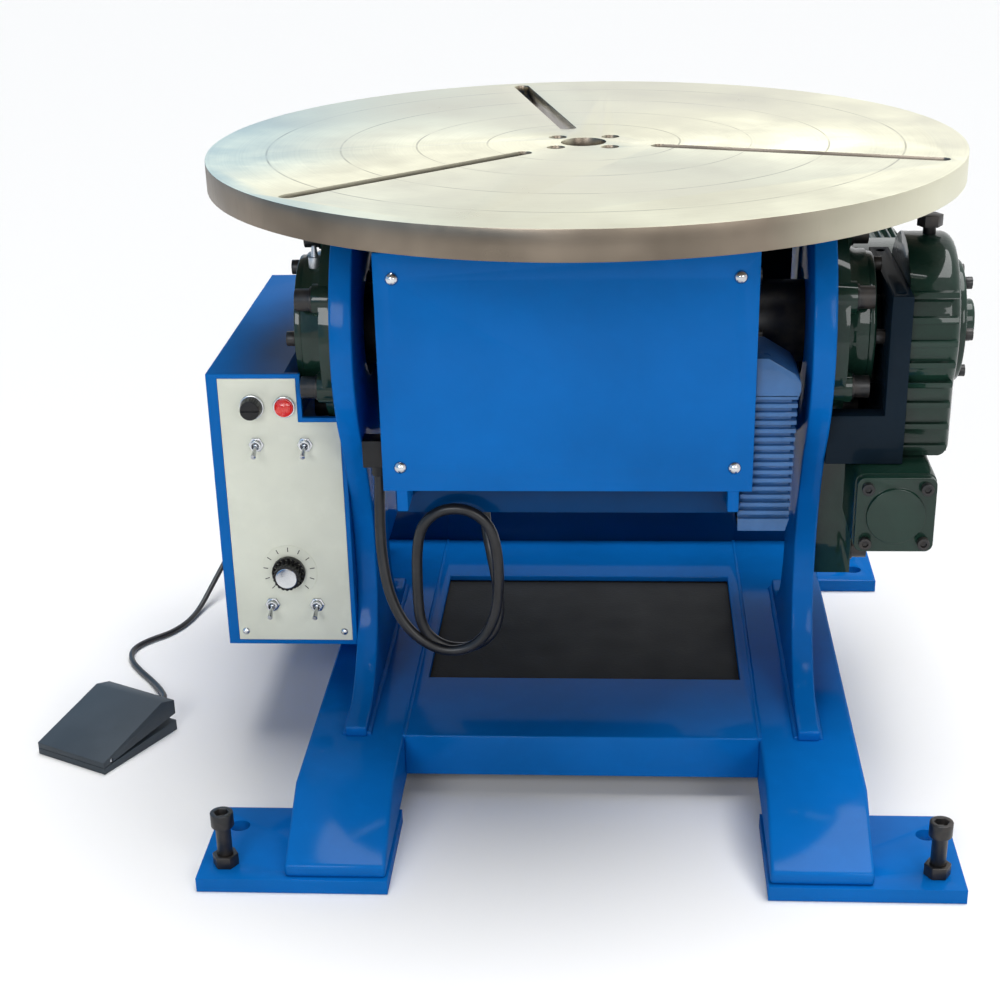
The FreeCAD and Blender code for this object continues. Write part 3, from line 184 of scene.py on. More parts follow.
def grown(tree, size, detail=3, rough=0.55, vector=None, stretch=None):
    """Noise whose features are about `size` metres across."""
    where = vector or add(tree, "TexCoord").outputs["Object"]
    if stretch:
        where = add(tree, "Mapping", {"Vector": where, "Scale": stretch}).outputs[0]
    return add(tree, "TexNoise", {"Vector": where, "Scale": 1 / size, "Detail": detail,
                                  "Roughness": rough}).outputs["Fac"]


def banded(tree, value, low, high, out_low=0.0, out_high=1.0):
    """Carries a value from one range to another, clamped."""
    return add(tree, "MapRange", {"Value": value, "From Min": low, "From Max": high,
                                  "To Min": out_low, "To Max": out_high}).outputs["Result"]


def mixed(tree, factor, first, second):
    return add(tree, "MixRGB", {"Fac": factor, "Color1": first, "Color2": second}).outputs[0]


def seen_directly(tree):
    """1 where the camera, a reflection or a clear material sees the surface, otherwise 0."""
    rays = add(tree, "LightPath").outputs
    seen = add(tree, "Math", {0: rays["Is Camera Ray"], 1: rays["Is Glossy Ray"]},
               operation="MAXIMUM").outputs[0]
    return add(tree, "Math", {0: seen, 1: rays["Is Transmission Ray"]},
               operation="MAXIMUM").outputs[0]


def bumped(tree, shader, height, distance, strength=1.0, inside=None):
    """Links a bump of that depth in metres to the shader."""
    inputs = {"Height": height, "Distance": distance, "Strength": strength}
    if inside is not None:
        inputs["Normal"] = inside
    normal = add(tree, "Bump", inputs).outputs[0]
    tree.links.new(normal, shader.inputs["Normal"])
    return normal


def enamel(name, base, rough=0.3, peel=0.00006, coat=0.16, dust=0.2):
    """Sprayed alkyd enamel on steel: a wet gloss with orange peel a few millimetres across,
    slightly uneven in depth of colour, with a little dulling where dust settles."""
    material, tree, shader = new_material(name, Roughness=rough, Coat_Weight=coat,
                                          Coat_Roughness=0.12, Specular_IOR_Level=0.0)
    cloud = grown(tree, 0.22, 4)
    spots = grown(tree, 0.02, 5, 0.65)
    tone = mixed(tree, banded(tree, cloud, 0.35, 0.68), shade(base, 0.86), shade(base, 1.1))
    dull = banded(tree, spots, 0.52, 0.75, 0, dust)
    tone = mixed(tree, dull, tone, shade(base, 1.32))
    tree.links.new(tone, shader.inputs["Base Color"])
    tree.links.new(banded(tree, cloud, 0.3, 0.7, rough - 0.06, rough + 0.1),
                   shader.inputs["Roughness"])
    # The peel's features are 3.5 mm across.
    bumped(tree, shader, grown(tree, 0.0035, 2), peel)
    return material


def casting_enamel(name, base):
    """Thick enamel over sand-cast iron: the sand's grain shows through as soft pits."""
    material, tree, shader = new_material(name, Roughness=0.3, IOR=1.52, Coat_Weight=0.6,
                                          Coat_Roughness=0.05, Specular_IOR_Level=0.05)
    cloud = grown(tree, 0.09, 4)
    tone = mixed(tree, banded(tree, cloud, 0.35, 0.7), shade(base, 0.75), shade(base, 1.35))
    tree.links.new(tone, shader.inputs["Base Color"])
    # Sand grain is under 1 mm; drawn at 5 mm so that it shows.
    bumped(tree, shader, grown(tree, 0.005, 4, 0.6), 0.0005)
    tree.links.new(banded(tree, cloud, 0.3, 0.7, 0.24, 0.42), shader.inputs["Roughness"])
    return material


def ground_steel(name, base, rim, scribes=(), line=0.0012):
    """Low-carbon steel faced on a lathe and rubbed down: rings of fine tool marks, cloudy
    patches of different polish, a few scratches and grey scribed circles."""
    material, tree, shader = new_material(name, Metallic=1.0, Roughness=0.34, Anisotropic=0.45)
    coords = add(tree, "TexCoord").outputs["Object"]
    flat = add(tree, "VectorMath", {0: coords, 1: (1, 1, 0)}, operation="MULTIPLY").outputs[0]
    radius = add(tree, "VectorMath", {0: flat}, operation="LENGTH").outputs["Value"]
    # Tool marks 1 mm apart on the real face are drawn 2.5 mm apart.
    rings = add(tree, "TexNoise", {"W": add(tree, "Math", {0: radius, 1: 400.0},
                                            operation="MULTIPLY").outputs[0],
                                   "Scale": 1.0, "Detail": 3.0},
                noise_dimensions="1D").outputs["Fac"]
    cloud = grown(tree, 0.16, 5, 0.6, vector=coords)
    fine = grown(tree, 0.012, 4, 0.7, vector=coords)
    scratch = grown(tree, 0.05, 6, 0.75, vector=coords, stretch=(1, 14, 1))
    tone = mixed(tree, banded(tree, cloud, 0.3, 0.72), shade(base, 0.92), shade(base, 1.06))
    tone = mixed(tree, banded(tree, rings, 0.35, 0.65, 0, 0.18), tone, shade(base, 0.72))
    tone = mixed(tree, banded(tree, fine, 0.6, 0.8, 0, 0.25), tone, shade(base, 0.62))
    # The turned rim and the slots' walls are painted a darker brown, a painted dark reflection, and
    # patchy in tone; the rim's side towards +X is painted bright, a painted reflection.
    facing = add(tree, "SeparateXYZ", {0: add(tree, "TexCoord").outputs["Normal"]}).outputs
    up = facing["Z"]
    face = banded(tree, up, 0.55, 0.85)
    rim_painted_reflection = mixed(tree, banded(tree, grown(tree, 0.13, 3, vector=coords), 0.35, 0.65),
                 shade(rim, 0.72), shade(rim, 1.25))
    rim_painted_reflection = mixed(tree, banded(tree, facing["X"], 0.42, 0.86), rim_painted_reflection, base)
    tone = mixed(tree, face, rim_painted_reflection, tone)
    cut = None
    for share in scribes:
        away = add(tree, "Math", {0: radius, 1: share * TABLE_RADIUS},
                   operation="SUBTRACT").outputs[0]
        away = add(tree, "Math", {0: away}, operation="ABSOLUTE").outputs[0]
        mark = banded(tree, away, line * 0.5, line * 1.1, 1, 0)
        cut = mark if cut is None else add(tree, "Math", {0: cut, 1: mark},
                                           operation="MAXIMUM").outputs[0]
    if cut is not None:
        cut = add(tree, "Math", {0: cut, 1: banded(tree, up, 0.9, 0.98)},
                  operation="MULTIPLY").outputs[0]
        worn = banded(tree, grown(tree, 0.08, 3, vector=coords), 0.42, 0.6, 0.12, 0.6)
        cut = add(tree, "Math", {0: cut, 1: worn}, operation="MULTIPLY").outputs[0]
        tone = mixed(tree, cut, tone, linear("#6A675F"))
    tree.links.new(tone, shader.inputs["Base Color"])
    rough = add(tree, "Math", {0: banded(tree, cloud, 0.3, 0.7, 0.26, 0.44),
                               1: banded(tree, scratch, 0.55, 0.75, 0, 0.12)},
                operation="ADD").outputs[0]
    tree.links.new(rough, shader.inputs["Roughness"])
    tangent = add(tree, "Tangent", direction_type="RADIAL", axis="Z").outputs[0]
    tree.links.new(tangent, shader.inputs["Tangent"])
    bumped(tree, shader, rings, 0.00003)
    return material


def turned_steel(name, base, rough=0.22, spread=0.12):
    """Bright steel as it leaves the lathe or the zinc bath: mirror-like with faint clouding."""
    material, tree, shader = new_material(name, Metallic=1.0, Roughness=rough)
    cloud = grown(tree, 0.03, 4)
    tree.links.new(mixed(tree, banded(tree, cloud, 0.35, 0.7), shade(base, 0.8), base),
                   shader.inputs["Base Color"])
    tree.links.new(banded(tree, cloud, 0.3, 0.7, rough, rough + spread), shader.inputs["Roughness"])
    bumped(tree, shader, grown(tree, 0.0015, 2), 0.00001)
    return material


def black_oxide(name, base):
    """Blackened steel under a film of oil: near black, satin, with a brown bloom."""
    material, tree, shader = new_material(name, Metallic=0.1, Roughness=0.38, IOR=1.6,
                                          Specular_IOR_Level=0.35)
    cloud = grown(tree, 0.018, 4)
    tree.links.new(mixed(tree, banded(tree, cloud, 0.45, 0.75), base, linear("#36302B")),
                   shader.inputs["Base Color"])
    tree.links.new(banded(tree, cloud, 0.3, 0.7, 0.3, 0.5), shader.inputs["Roughness"])
    bumped(tree, shader, grown(tree, 0.002, 3), 0.00004)
    return material


def moulded(name, base, rough=0.5, grain=0.0012, depth=0.00009, ior=1.5):
    """Injection-moulded plastic: a fine spark-eroded grain that takes the shine off."""
    material, tree, shader = new_material(name, Roughness=rough, IOR=ior, Specular_IOR_Level=0.25)
    cloud = grown(tree, 0.05, 3)
    tree.links.new(mixed(tree, banded(tree, cloud, 0.35, 0.7), shade(base, 0.85),
                         shade(base, 1.12)),
                   shader.inputs["Base Color"])
    tree.links.new(banded(tree, cloud, 0.3, 0.7, rough - 0.05, rough + 0.08),
                   shader.inputs["Roughness"])
    bumped(tree, shader, grown(tree, grain, 2), depth)
    return material


def rubber(name, base):
    """Extruded cable jacket: soft black with a waxy shine along its length."""
    material, tree, shader = new_material(name, Roughness=0.34, IOR=1.5, Specular_IOR_Level=0.4)
    cloud = grown(tree, 0.02, 3)
    tree.links.new(mixed(tree, banded(tree, cloud, 0.4, 0.7), base, shade(base, 2.2)),
                   shader.inputs["Base Color"])
    bumped(tree, shader, grown(tree, 0.003, 2), 0.00006)
    return material


def lamp_lens(name, base):
    """Moulded acrylic lens, tinted through and lit a little from behind."""
    material, tree, shader = new_material(name, Roughness=0.12, IOR=1.49, Transmission_Weight=0.35,
                                          Coat_Weight=0.5, Emission_Color=base,
                                          Emission_Strength=0.25)
    ridges = add(tree, "TexWave", {"Vector": add(tree, "TexCoord").outputs["Object"],
                                   "Scale": 160.0}).outputs["Fac"]
    tree.links.new(mixed(tree, ridges, base, shade(base, 1.25)), shader.inputs["Base Color"])
    bumped(tree, shader, ridges, 0.0001)
    return material


def painted_line(name, code):
    """Screen-printed ink, matt and a little uneven."""
    material, tree, shader = new_material(name, Roughness=0.6)
    tree.links.new(mixed(tree, grown(tree, 0.002, 2), linear(code), shade(linear(code), 1.6)),
                   shader.inputs["Base Color"])
    return material


MATERIALS = {}


def make_materials(finish):
    """One material for each of the real finishes."""
    hexes = {key: tuple(getattr(finish, key)) for key in finish.__annotations__}
    MATERIALS.update(
        enamel=enamel("blue_enamel", hexes["enamel"]),
        cover=enamel("blue_enamel_sheet", shade(hexes["enamel"], 0.96), 0.34, 0.00004, 0.14, 0.1),
        # The rim's darker brown, #776D61, is a painted dark reflection.
        table=ground_steel("ground_table_steel", hexes["steel"], linear("#776D61"),
                           SCRIBED_CIRCLES, bpy.context.scene.positioner_sizes.scribe),
        steel=turned_steel("turned_steel", hexes["bright"]),
        zinc=turned_steel("zinc_plate", shade(hexes["bright"], 0.8), 0.36, 0.15),
        nickel=turned_steel("nickel_plate", hexes["bright"], 0.14, 0.08),
        oxide=black_oxide("black_oxide", hexes["oxide"]),
        casting=casting_enamel("green_casting_enamel", hexes["casting"]),
        # The blue enamel darkened to 0.3: painted shade for the rear panel, its plates and the
        # housing's sill, which lie in shadow under the table and cover.
        shaded=enamel("navy_enamel", shade(hexes["enamel"], 0.3), 0.34, 0.00004, 0.2),
        bracket=enamel("blue_black_enamel", hexes["bracket"], 0.4, 0.00012, 0.12, 0.15),
        # A near-black coat for the sheet under the deck's window: painted shade.
        sheet=moulded("bitumen_coat", linear("#242424"), 0.75, 0.004, 0.0003),
        motor=casting_enamel("blue_grey_motor_enamel", hexes["motor"]),
        panel=enamel("cream_panel_coat", hexes["panel"], 0.5, 0.00003, 0.1, 0.1),
        slate=moulded("slate_moulding", hexes["pedal"]),
        phenolic=moulded("black_phenolic", linear("#131315"), 0.3, 0.002, 0.00003, 1.55),
        cable=rubber("cable_jacket", hexes["cable"]),
        lens=lamp_lens("red_acrylic", hexes["lens"]),
        ink=painted_line("dial_ink", "#1A1A1C"),
    )


# ------------------------------------------------------------------ pieces
def link(piece):
    bpy.context.scene.collection.objects.link(piece)
    return piece


def piece_from(name, bm, material, body, smooth=40):
    """Turns a bmesh into a piece that rides on a body."""
    mesh = bpy.data.meshes.new(name)
    bm.normal_update()
    bm.to_mesh(mesh)
    bm.free()
    mesh.polygons.foreach_set("use_smooth", [True] * len(mesh.polygons))
    mesh.set_sharp_from_angle(angle=math.radians(smooth))
    mesh.materials.append(MATERIALS[material])
    piece = link(bpy.data.objects.new(name, mesh))
    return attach(piece, body)


def applied(piece):
    """Bakes a piece's modifiers into its mesh."""
    graph = bpy.context.evaluated_depsgraph_get()
    mesh = bpy.data.meshes.new_from_object(piece.evaluated_get(graph))
    old = piece.data
    piece.modifiers.clear()
    piece.data = mesh
    bpy.data.meshes.remove(old)
    return piece


def finished(node, material, radius, segments=2, limit=32, origin=None, shift=None):
    """A copy of a CAD node with its corners rounded off, which stands for the node; `shift`
    gives how far a point of it is moved."""
    bm = bmesh.new()
    bm.from_mesh(NODES[node].data)
    bmesh.ops.remove_doubles(bm, verts=bm.verts, dist=2e-6)
    bmesh.ops.dissolve_limit(bm, angle_limit=math.radians(0.4), verts=bm.verts, edges=bm.edges)
    for vertex in bm.verts if shift else ():
        vertex.co += shift(vertex.co)
    if origin is not None:
        bmesh.ops.translate(bm, verts=bm.verts, vec=-origin)
    mesh = bpy.data.meshes.new(node + "_finish")
    bm.to_mesh(mesh)
    bm.free()
    while mesh.attributes.get("custom_normal"):
        mesh.attributes.remove(mesh.attributes["custom_normal"])
    mesh.materials.clear()
    mesh.materials.append(MATERIALS[material])
    piece = link(bpy.data.objects.new(node + "_finish", mesh))
    if origin is not None:
        piece.location = origin
    softened(piece, radius, segments, limit)
    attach(piece, BODY_OF[node])
    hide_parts(node)
    return piece


def slab(bm, outline, low, high, axis=2):
    """Adds a closed prism: an outline in two axes, drawn out along the third."""
    rings = []
    for level in (low, high):
        ring = []
        for u, v in outline:
            place = [u, v]
            place.insert(axis, level)
            ring.append(bm.verts.new(place))
        rings.append(ring)
    faces = [bm.faces.new(rings[0]), bm.faces.new(rings[1])]
    count = len(outline)
    for k in range(count):
        faces.append(bm.faces.new((rings[0][k], rings[0][(k + 1) % count],
                                   rings[1][(k + 1) % count], rings[1][k])))
    bmesh.ops.recalc_face_normals(bm, faces=faces)
    return faces


def softened(piece, radius, segments=2, limit=32):
    """Rounds a piece's corners and bakes the result."""
    round_off = piece.modifiers.new("Edges", "BEVEL")
    round_off.width = radius
    round_off.segments = segments
    round_off.limit_method = "ANGLE"
    round_off.angle_limit = math.radians(limit)
    applied(piece)
    piece.data.polygons.foreach_set("use_smooth", [True] * len(piece.data.polygons))
    piece.data.set_sharp_from_angle(angle=math.radians(42))
    return piece


def turned(name, profile, centre, axis, material, body, steps=40):
    """A piece turned about an axis through `centre`, from (distance, radius) pairs."""
    bm = bmesh.new()
    turn = Vector((0, 0, 1)).rotation_difference(Vector(axis))
    rings = []
    for along, radius in profile:
        ring = []
        for k in range(steps):
            angle = math.tau * k / steps
            spot = Vector((radius * math.cos(angle), radius * math.sin(angle), along))
            ring.append(bm.verts.new(Vector(centre) + turn @ spot))
        rings.append(ring)
    for first, second in zip(rings, rings[1:]):
        for k in range(steps):
            bm.faces.new((first[k], first[(k + 1) % steps], second[(k + 1) % steps], second[k]))
    bm.faces.new(rings[0][::-1])
    bm.faces.new(rings[-1])
    return piece_from(name, bm, material, body)


def coat(node, material):
    """Gives a CAD node that keeps its own shape a finish."""
    piece = NODES[node]
    if not piece.material_slots:
        piece.data.materials.append(MATERIALS[material])
    for place in piece.material_slots:
        place.material = MATERIALS[material]


def nurbs(name, points, radius, caps=True):
    """A smooth round line with those points as its control points."""
    curve = bpy.data.curves.new(name, "CURVE")
    curve.dimensions = "3D"
    spline = curve.splines.new("NURBS")
    spline.points.add(len(points) - 1)
    for place, point in zip(spline.points, points):
        place.co = (*point, 1)
    spline.order_u = 3
    spline.use_endpoint_u = True
    curve.resolution_u = 10
    curve.bevel_depth = radius
    curve.bevel_resolution = 6
    curve.use_fill_caps = caps
    return link(bpy.data.objects.new(name, curve))


def centre_line(piece):
    """Points along a curve object's own line."""
    depth, piece.data.bevel_depth = piece.data.bevel_depth, 0
    bpy.context.view_layer.update()
    mesh = bpy.data.meshes.new_from_object(
        piece.evaluated_get(bpy.context.evaluated_depsgraph_get()))
    points = [vertex.co.copy() for vertex in mesh.vertices]
    bpy.data.meshes.remove(mesh)
    piece.data.bevel_depth = depth
    return points


def length_of(points):
    return sum((b - a).length for a, b in zip(points, points[1:]))


def weld(name, points, body, wide, ripple):
    """A fillet weld along a line: a low bead with half-moon ripples and a wandering edge."""
    points = [Vector(point) for point in points]
    total = length_of(points)
    steps = max(8, int(total / ripple * 4))
    bm = bmesh.new()
    rings = []
    for step in range(steps + 1):
        along = step / steps * total
        for a, b in zip(points, points[1:]):
            run = (b - a).length
            if along <= run or b is points[-1]:
                break
            along -= run
        way = (b - a).normalized()
        spot = a + way * min(along, run)
        phase = (step / 4) % 1
        size = wide / 2 * (0.9 + 0.16 * math.sin(phase * math.pi)
                           + 0.22 * (noise.noise(spot * 40) - 0.1))
        side = way.orthogonal().normalized()
        other = way.cross(side)
        ring = [bm.verts.new(spot + (side * math.cos(t) + other * math.sin(t)) * size)
                for t in [math.tau * k / WELD_SIDES for k in range(WELD_SIDES)]]
        rings.append(ring)
    for first, second in zip(rings, rings[1:]):
        for k in range(WELD_SIDES):
            after = (k + 1) % WELD_SIDES
            bm.faces.new((first[k], first[after], second[after], second[k]))
    bm.faces.new(rings[0][::-1])
    bm.faces.new(rings[-1])
    return piece_from(name, bm, "enamel", body, 80)


class PositionerOperator(bpy.types.Operator):
    """Common settings of the positioner's operators"""
    bl_options = {"REGISTER", "UNDO"}

    @property
    def sizes(self):
        return bpy.context.scene.positioner_sizes

    @property
    def finish(self):
        return bpy.context.scene.positioner_finish


class POSITIONER_OT_camera(PositionerOperator):
    """Sets the camera at a standing person's height, in front and a little to the right"""
    bl_idname = "positioner.camera"
    bl_label = "Camera"

    def execute(self, context):
        lens = bpy.data.cameras.new("Camera")
        lens.lens = 66.71
        lens.sensor_width = 36.0
        lens.shift_y = 0.14
        lens.clip_end = 60
        pitch, yaw, roll = 0.446, -0.072, -0.024
        ahead = Vector((math.sin(yaw) * math.cos(pitch), math.cos(yaw) * math.cos(pitch),
                        -math.sin(pitch)))
        right = Vector((math.cos(yaw), -math.sin(yaw), 0))
        up = right.cross(ahead)
        right, up = (right * math.cos(roll) + up * math.sin(roll),
                     up * math.cos(roll) - right * math.sin(roll))
        camera = link(bpy.data.objects.new("Camera", lens))
        turn = Matrix((right, up, -ahead)).transposed().to_4x4()
        camera.matrix_world = Matrix.Translation((0.0431, -2.0614, 1.0603)) @ turn
        context.scene.camera = camera
        return {"FINISHED"}


class POSITIONER_OT_cords(PositionerOperator):
    """Lays the pedal's cord and hangs the housing's lead in its two loops"""
    bl_idname = "positioner.cords"
    bl_label = "Cords"

    def execute(self, context):
        make_materials(self.finish)
        cord = nurbs("pedal_lead", PEDAL_CORD, PEDAL_CORD_WIDTH / 2)
        cord.data.materials.append(MATERIALS["cable"])
        line = centre_line(cord)
        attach(cord, "base")
        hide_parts("pedal_cord")

        curve = nurbs("housing_lead_line", TILT_LEAD, TILT_LEAD_WIDTH / 2)
        line = centre_line(curve)
        mesh = bpy.data.meshes.new_from_object(
            curve.evaluated_get(context.evaluated_depsgraph_get()))
        bpy.data.objects.remove(curve)
        lead = link(bpy.data.objects.new("housing_lead", mesh))
        mesh.materials.clear()
        mesh.materials.append(MATERIALS["cable"])
        mesh.polygons.foreach_set("use_smooth", [True] * len(mesh.polygons))
        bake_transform(lead)
        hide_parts("tilt_lead")
        return {"FINISHED"}


class POSITIONER_OT_base(PositionerOperator):
    """Rounds and paints the feet, legs, deck and uprights, and runs their welds"""
    bl_idname = "positioner.base"
    bl_label = "Base"

    def execute(self, context):
        fold, edge = self.sizes.fold, self.sizes.edge
        for node in ("leg_left", "leg_right"):
            finished(node, "enamel", fold * 1.3, 4)
        finished("deck_plate", "enamel", edge * 1.6, 3)
        # The rear panel takes the darkened enamel, painted shade for the shadow under the table.
        finished("rear_cross_panel", "shaded", edge * 1.6, 3)
        # Plates carry the rear panel on across the legs, in the same darkened enamel, which is
        # painted shade.
        low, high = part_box("rear_cross_panel")
        bm = bmesh.new()
        for sign, side in ((-1, "left"), (1, "right")):
            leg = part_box("leg_" + side)
            leg_top = leg[1][2] - 0.001
            ends = sorted((sign * (high[0] - 0.002), leg[0 if sign < 0 else 1][0] - sign * 0.004))
            slab(bm, [(ends[0], leg_top), (ends[1], leg_top), (ends[1], high[2]),
                      (ends[0], high[2])], low[1] + 0.0005, high[1] - 0.0005, axis=1)
        softened(piece_from("rear_gussets", bm, "shaded", "base"), edge)
        for node in ("upright_left", "upright_right"):
            finished(node, "enamel", edge * 2, 3)
        finished("foot_plates", "enamel", edge * 1.2, 2)
        # A dark sheet with a folded rim is put under the deck's window from below; its near-black
        # coat is painted shade, standing for the shadow seen through the window.
        low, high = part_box("deck_plate")
        under = high[2] - WINDOW_DROP
        bm = bmesh.new()
        left, right = low[0] + 0.003, high[0] - 0.003
        slab(bm, [(left, low[1] + 0.03), (right, low[1] + 0.03), (right, high[1] - 0.003),
                  (left, high[1] - 0.003)], under - WINDOW_SHEET, under)
        for y in (low[1] + 0.03, high[1] - 0.005):
            slab(bm, [(left, y), (right, y), (right, y + WINDOW_SHEET), (left, y + WINDOW_SHEET)],
                 under - WINDOW_RIM, under - WINDOW_SHEET / 2)
        softened(piece_from("deck_sheet", bm, "sheet", "base"), 0.0007)
        for sign, side in ((-1, "left"), (1, "right")):
            low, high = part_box("upright_" + side)
            foot = low[2]
            for face, x in (("inner", high[0] if sign < 0 else low[0]),
                            ("outer", low[0] if sign < 0 else high[0])):
                weld("upright_weld_%s_%s" % (side, face),
                     [(x, low[1] + 0.004, foot), (x, high[1] - 0.004, foot)], "base",
                     self.sizes.weld, self.sizes.ripple)
            leg_low, leg_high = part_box("leg_" + side)
            deck_low, deck_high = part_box("deck_plate")
            x = leg_high[0] if sign < 0 else leg_low[0]
            weld("deck_weld_" + side, [(x, deck_low[1], deck_high[2] - 0.002),
                                       (x, deck_high[1], deck_high[2] - 0.002)], "base",
                 self.sizes.weld * 0.7, self.sizes.ripple)
        return {"FINISHED"}


class POSITIONER_OT_table(PositionerOperator):
    """Finishes the turntable, its spindle and the gears under it"""
    bl_idname = "positioner.table"
    bl_label = "Turntable"

    def execute(self, context):
        finished("table", "table", self.sizes.edge, 2, origin=TABLE_AXIS)
        finished("spindle", "steel", self.sizes.edge)
        finished("ring_gear", "steel", self.sizes.edge * 0.5, 1)
        finished("pinion", "steel", self.sizes.edge * 0.5, 1)
        coat("table_screws", "oxide")
        return {"FINISHED"}


class POSITIONER_OT_housing(PositionerOperator):
    """Finishes the tilting housing and its front cover"""
    bl_idname = "positioner.housing"
    bl_label = "Housing"

    def execute(self, context):
        edge = self.sizes.edge
        frame_low, frame_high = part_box("tilt_frame")
        low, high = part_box("front_cover")
        middle = (low[2] + high[2]) / 2

        def trimmed(point):
            return Vector((0, 0, -COVER_TOP_TRIM if point.z > middle else COVER_FOOT_TRIM))

        finished("tilt_frame", "cover", edge * 1.5)
        finished("front_cover", "cover", edge * 1.1, 3, shift=trimmed)
        finished("cover_screws", "nickel", edge * 0.4, shift=trimmed)
        # A folded sill closes the housing under the cover; its darkened enamel is painted shade.
        back = low[1] + 0.05
        lowest, step = frame_low[2] - SILL_DROP, frame_low[2] + SILL_RISE
        bm = bmesh.new()
        slab(bm, [(back, lowest), (back + SHEET, lowest), (back + SHEET, step),
                  (back + SILL_LIP, step), (back + SILL_LIP, step + SHEET),
                  (back, step + SHEET)], low[0] + 0.006, high[0] - 0.006, axis=0)
        softened(piece_from("housing_sill", bm, "shaded", "tilt_box"), edge * 0.8)
        # Folded wings shut the gaps between the housing's back and the uprights; their blue-black
        # coat is painted shade for those dark gaps.
        bm = bmesh.new()
        rear, roof = TABLE_AXIS.y + WING_BEHIND, frame_high[2]
        for sign, side in ((-1, "left"), (1, "right")):
            outer = sign * (abs(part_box("upright_" + side)[0 if sign > 0 else 1][0]) - 0.004)
            ends = sorted((sign * (abs(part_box("front_cover")[0 if sign < 0 else 1][0])
                                   - COVER_LAP), outer))
            slab(bm, [(rear, frame_low[2]), (rear + SHEET, frame_low[2]), (rear + SHEET, roof),
                      (rear - WING_ROOF, roof), (rear - WING_ROOF, roof - SHEET),
                      (rear, roof - SHEET)], ends[0], ends[1], axis=0)
        softened(piece_from("housing_wings", bm, "bracket", "tilt_box"), edge * 0.6)
        return {"FINISHED"}


class POSITIONER_OT_bearings(PositionerOperator):
    """Finishes the trunnions, flange bearings, caps and their screws"""
    bl_idname = "positioner.bearings"
    bl_label = "Bearings"

    def execute(self, context):
        for side in ("left", "right"):
            finished("trunnion_" + side, "oxide", self.sizes.edge)
            finished("flange_bearing_" + side, "casting", self.sizes.casting, 3)
            finished("bearing_cap_" + side, "casting", self.sizes.casting * 0.6, 3)
        finished("bearing_screws", "oxide", self.sizes.edge * 0.5)
        finished("trunnion_screws", "oxide", self.sizes.edge * 0.5)
        finished("grease_nipple", "zinc", self.sizes.edge * 0.4)
        return {"FINISHED"}


class POSITIONER_OT_tilt_drive(PositionerOperator):
    """Finishes the worm reducer and its motor on the right-hand side"""
    bl_idname = "positioner.tilt_drive"
    bl_label = "Tilt drive"

    def execute(self, context):
        for node in ("reducer_case", "reducer_side_cover", "worm_cover", "input_gearcase",
                     "tilt_motor", "fan_cowl"):
            finished(node, "casting", self.sizes.casting * (0.5 if node == "tilt_motor" else 1), 3)
        finished("reducer_bracket", "bracket", self.sizes.edge * 1.5, 3)
        finished("reducer_screws", "oxide", self.sizes.edge * 0.5)
        finished("breather_plug", "oxide", self.sizes.edge * 0.8)
        return {"FINISHED"}


class POSITIONER_OT_turning_drive(PositionerOperator):
    """Finishes the finned motor and gearcase that turn the table"""
    bl_idname = "positioner.turning_drive"
    bl_label = "Turning drive"

    def execute(self, context):
        low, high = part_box("turning_motor")
        foot, top, crest = low[2] + 0.006, high[2] + 0.005, high[2] - 0.03
        deep = self.sizes.fin_depth
        pitch = (crest - foot - 0.018) / FIN_COUNT
        bm = bmesh.new()
        slab(bm, [(low[0], foot), (high[0] - 0.008, foot), (high[0] - 0.004, foot + 0.014),
                  (high[0] - deep, foot + 0.02), (high[0] - deep, crest), (low[0], crest)],
             low[1] + deep, high[1] - 0.002, axis=1)
        slab(bm, [(low[0], foot), (high[0] - 0.008, foot), (high[0] - 0.004, foot + 0.014),
                  (low[0], foot + 0.014)], low[1], high[1], axis=1)
        for number in range(FIN_COUNT):
            level = foot + 0.014 + FIN_GAP + number * pitch
            edge_x = high[0] - 0.004 * (1 - number / FIN_COUNT)
            slab(bm, [(low[0] + 0.001, low[1]), (edge_x, low[1]), (edge_x, high[1]),
                      (low[0] + 0.001, high[1])], level, level + pitch - FIN_GAP)
        slab(bm, [(low[0], crest - 0.006), (high[0], crest - 0.006), (high[0] + 0.002, crest),
                  (high[0] + 0.002, crest + 0.009), (high[0] - 0.004, crest + 0.018),
                  (low[0] + 0.026, top), (low[0], top)], low[1], high[1], axis=1)
        motor = softened(piece_from("turning_motor_finish", bm, "motor", "tilt_box"),
                         self.sizes.edge * 0.5)
        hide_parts("turning_motor")
        finished("turning_gearcase", "motor", self.sizes.casting, 3)
        return {"FINISHED"}


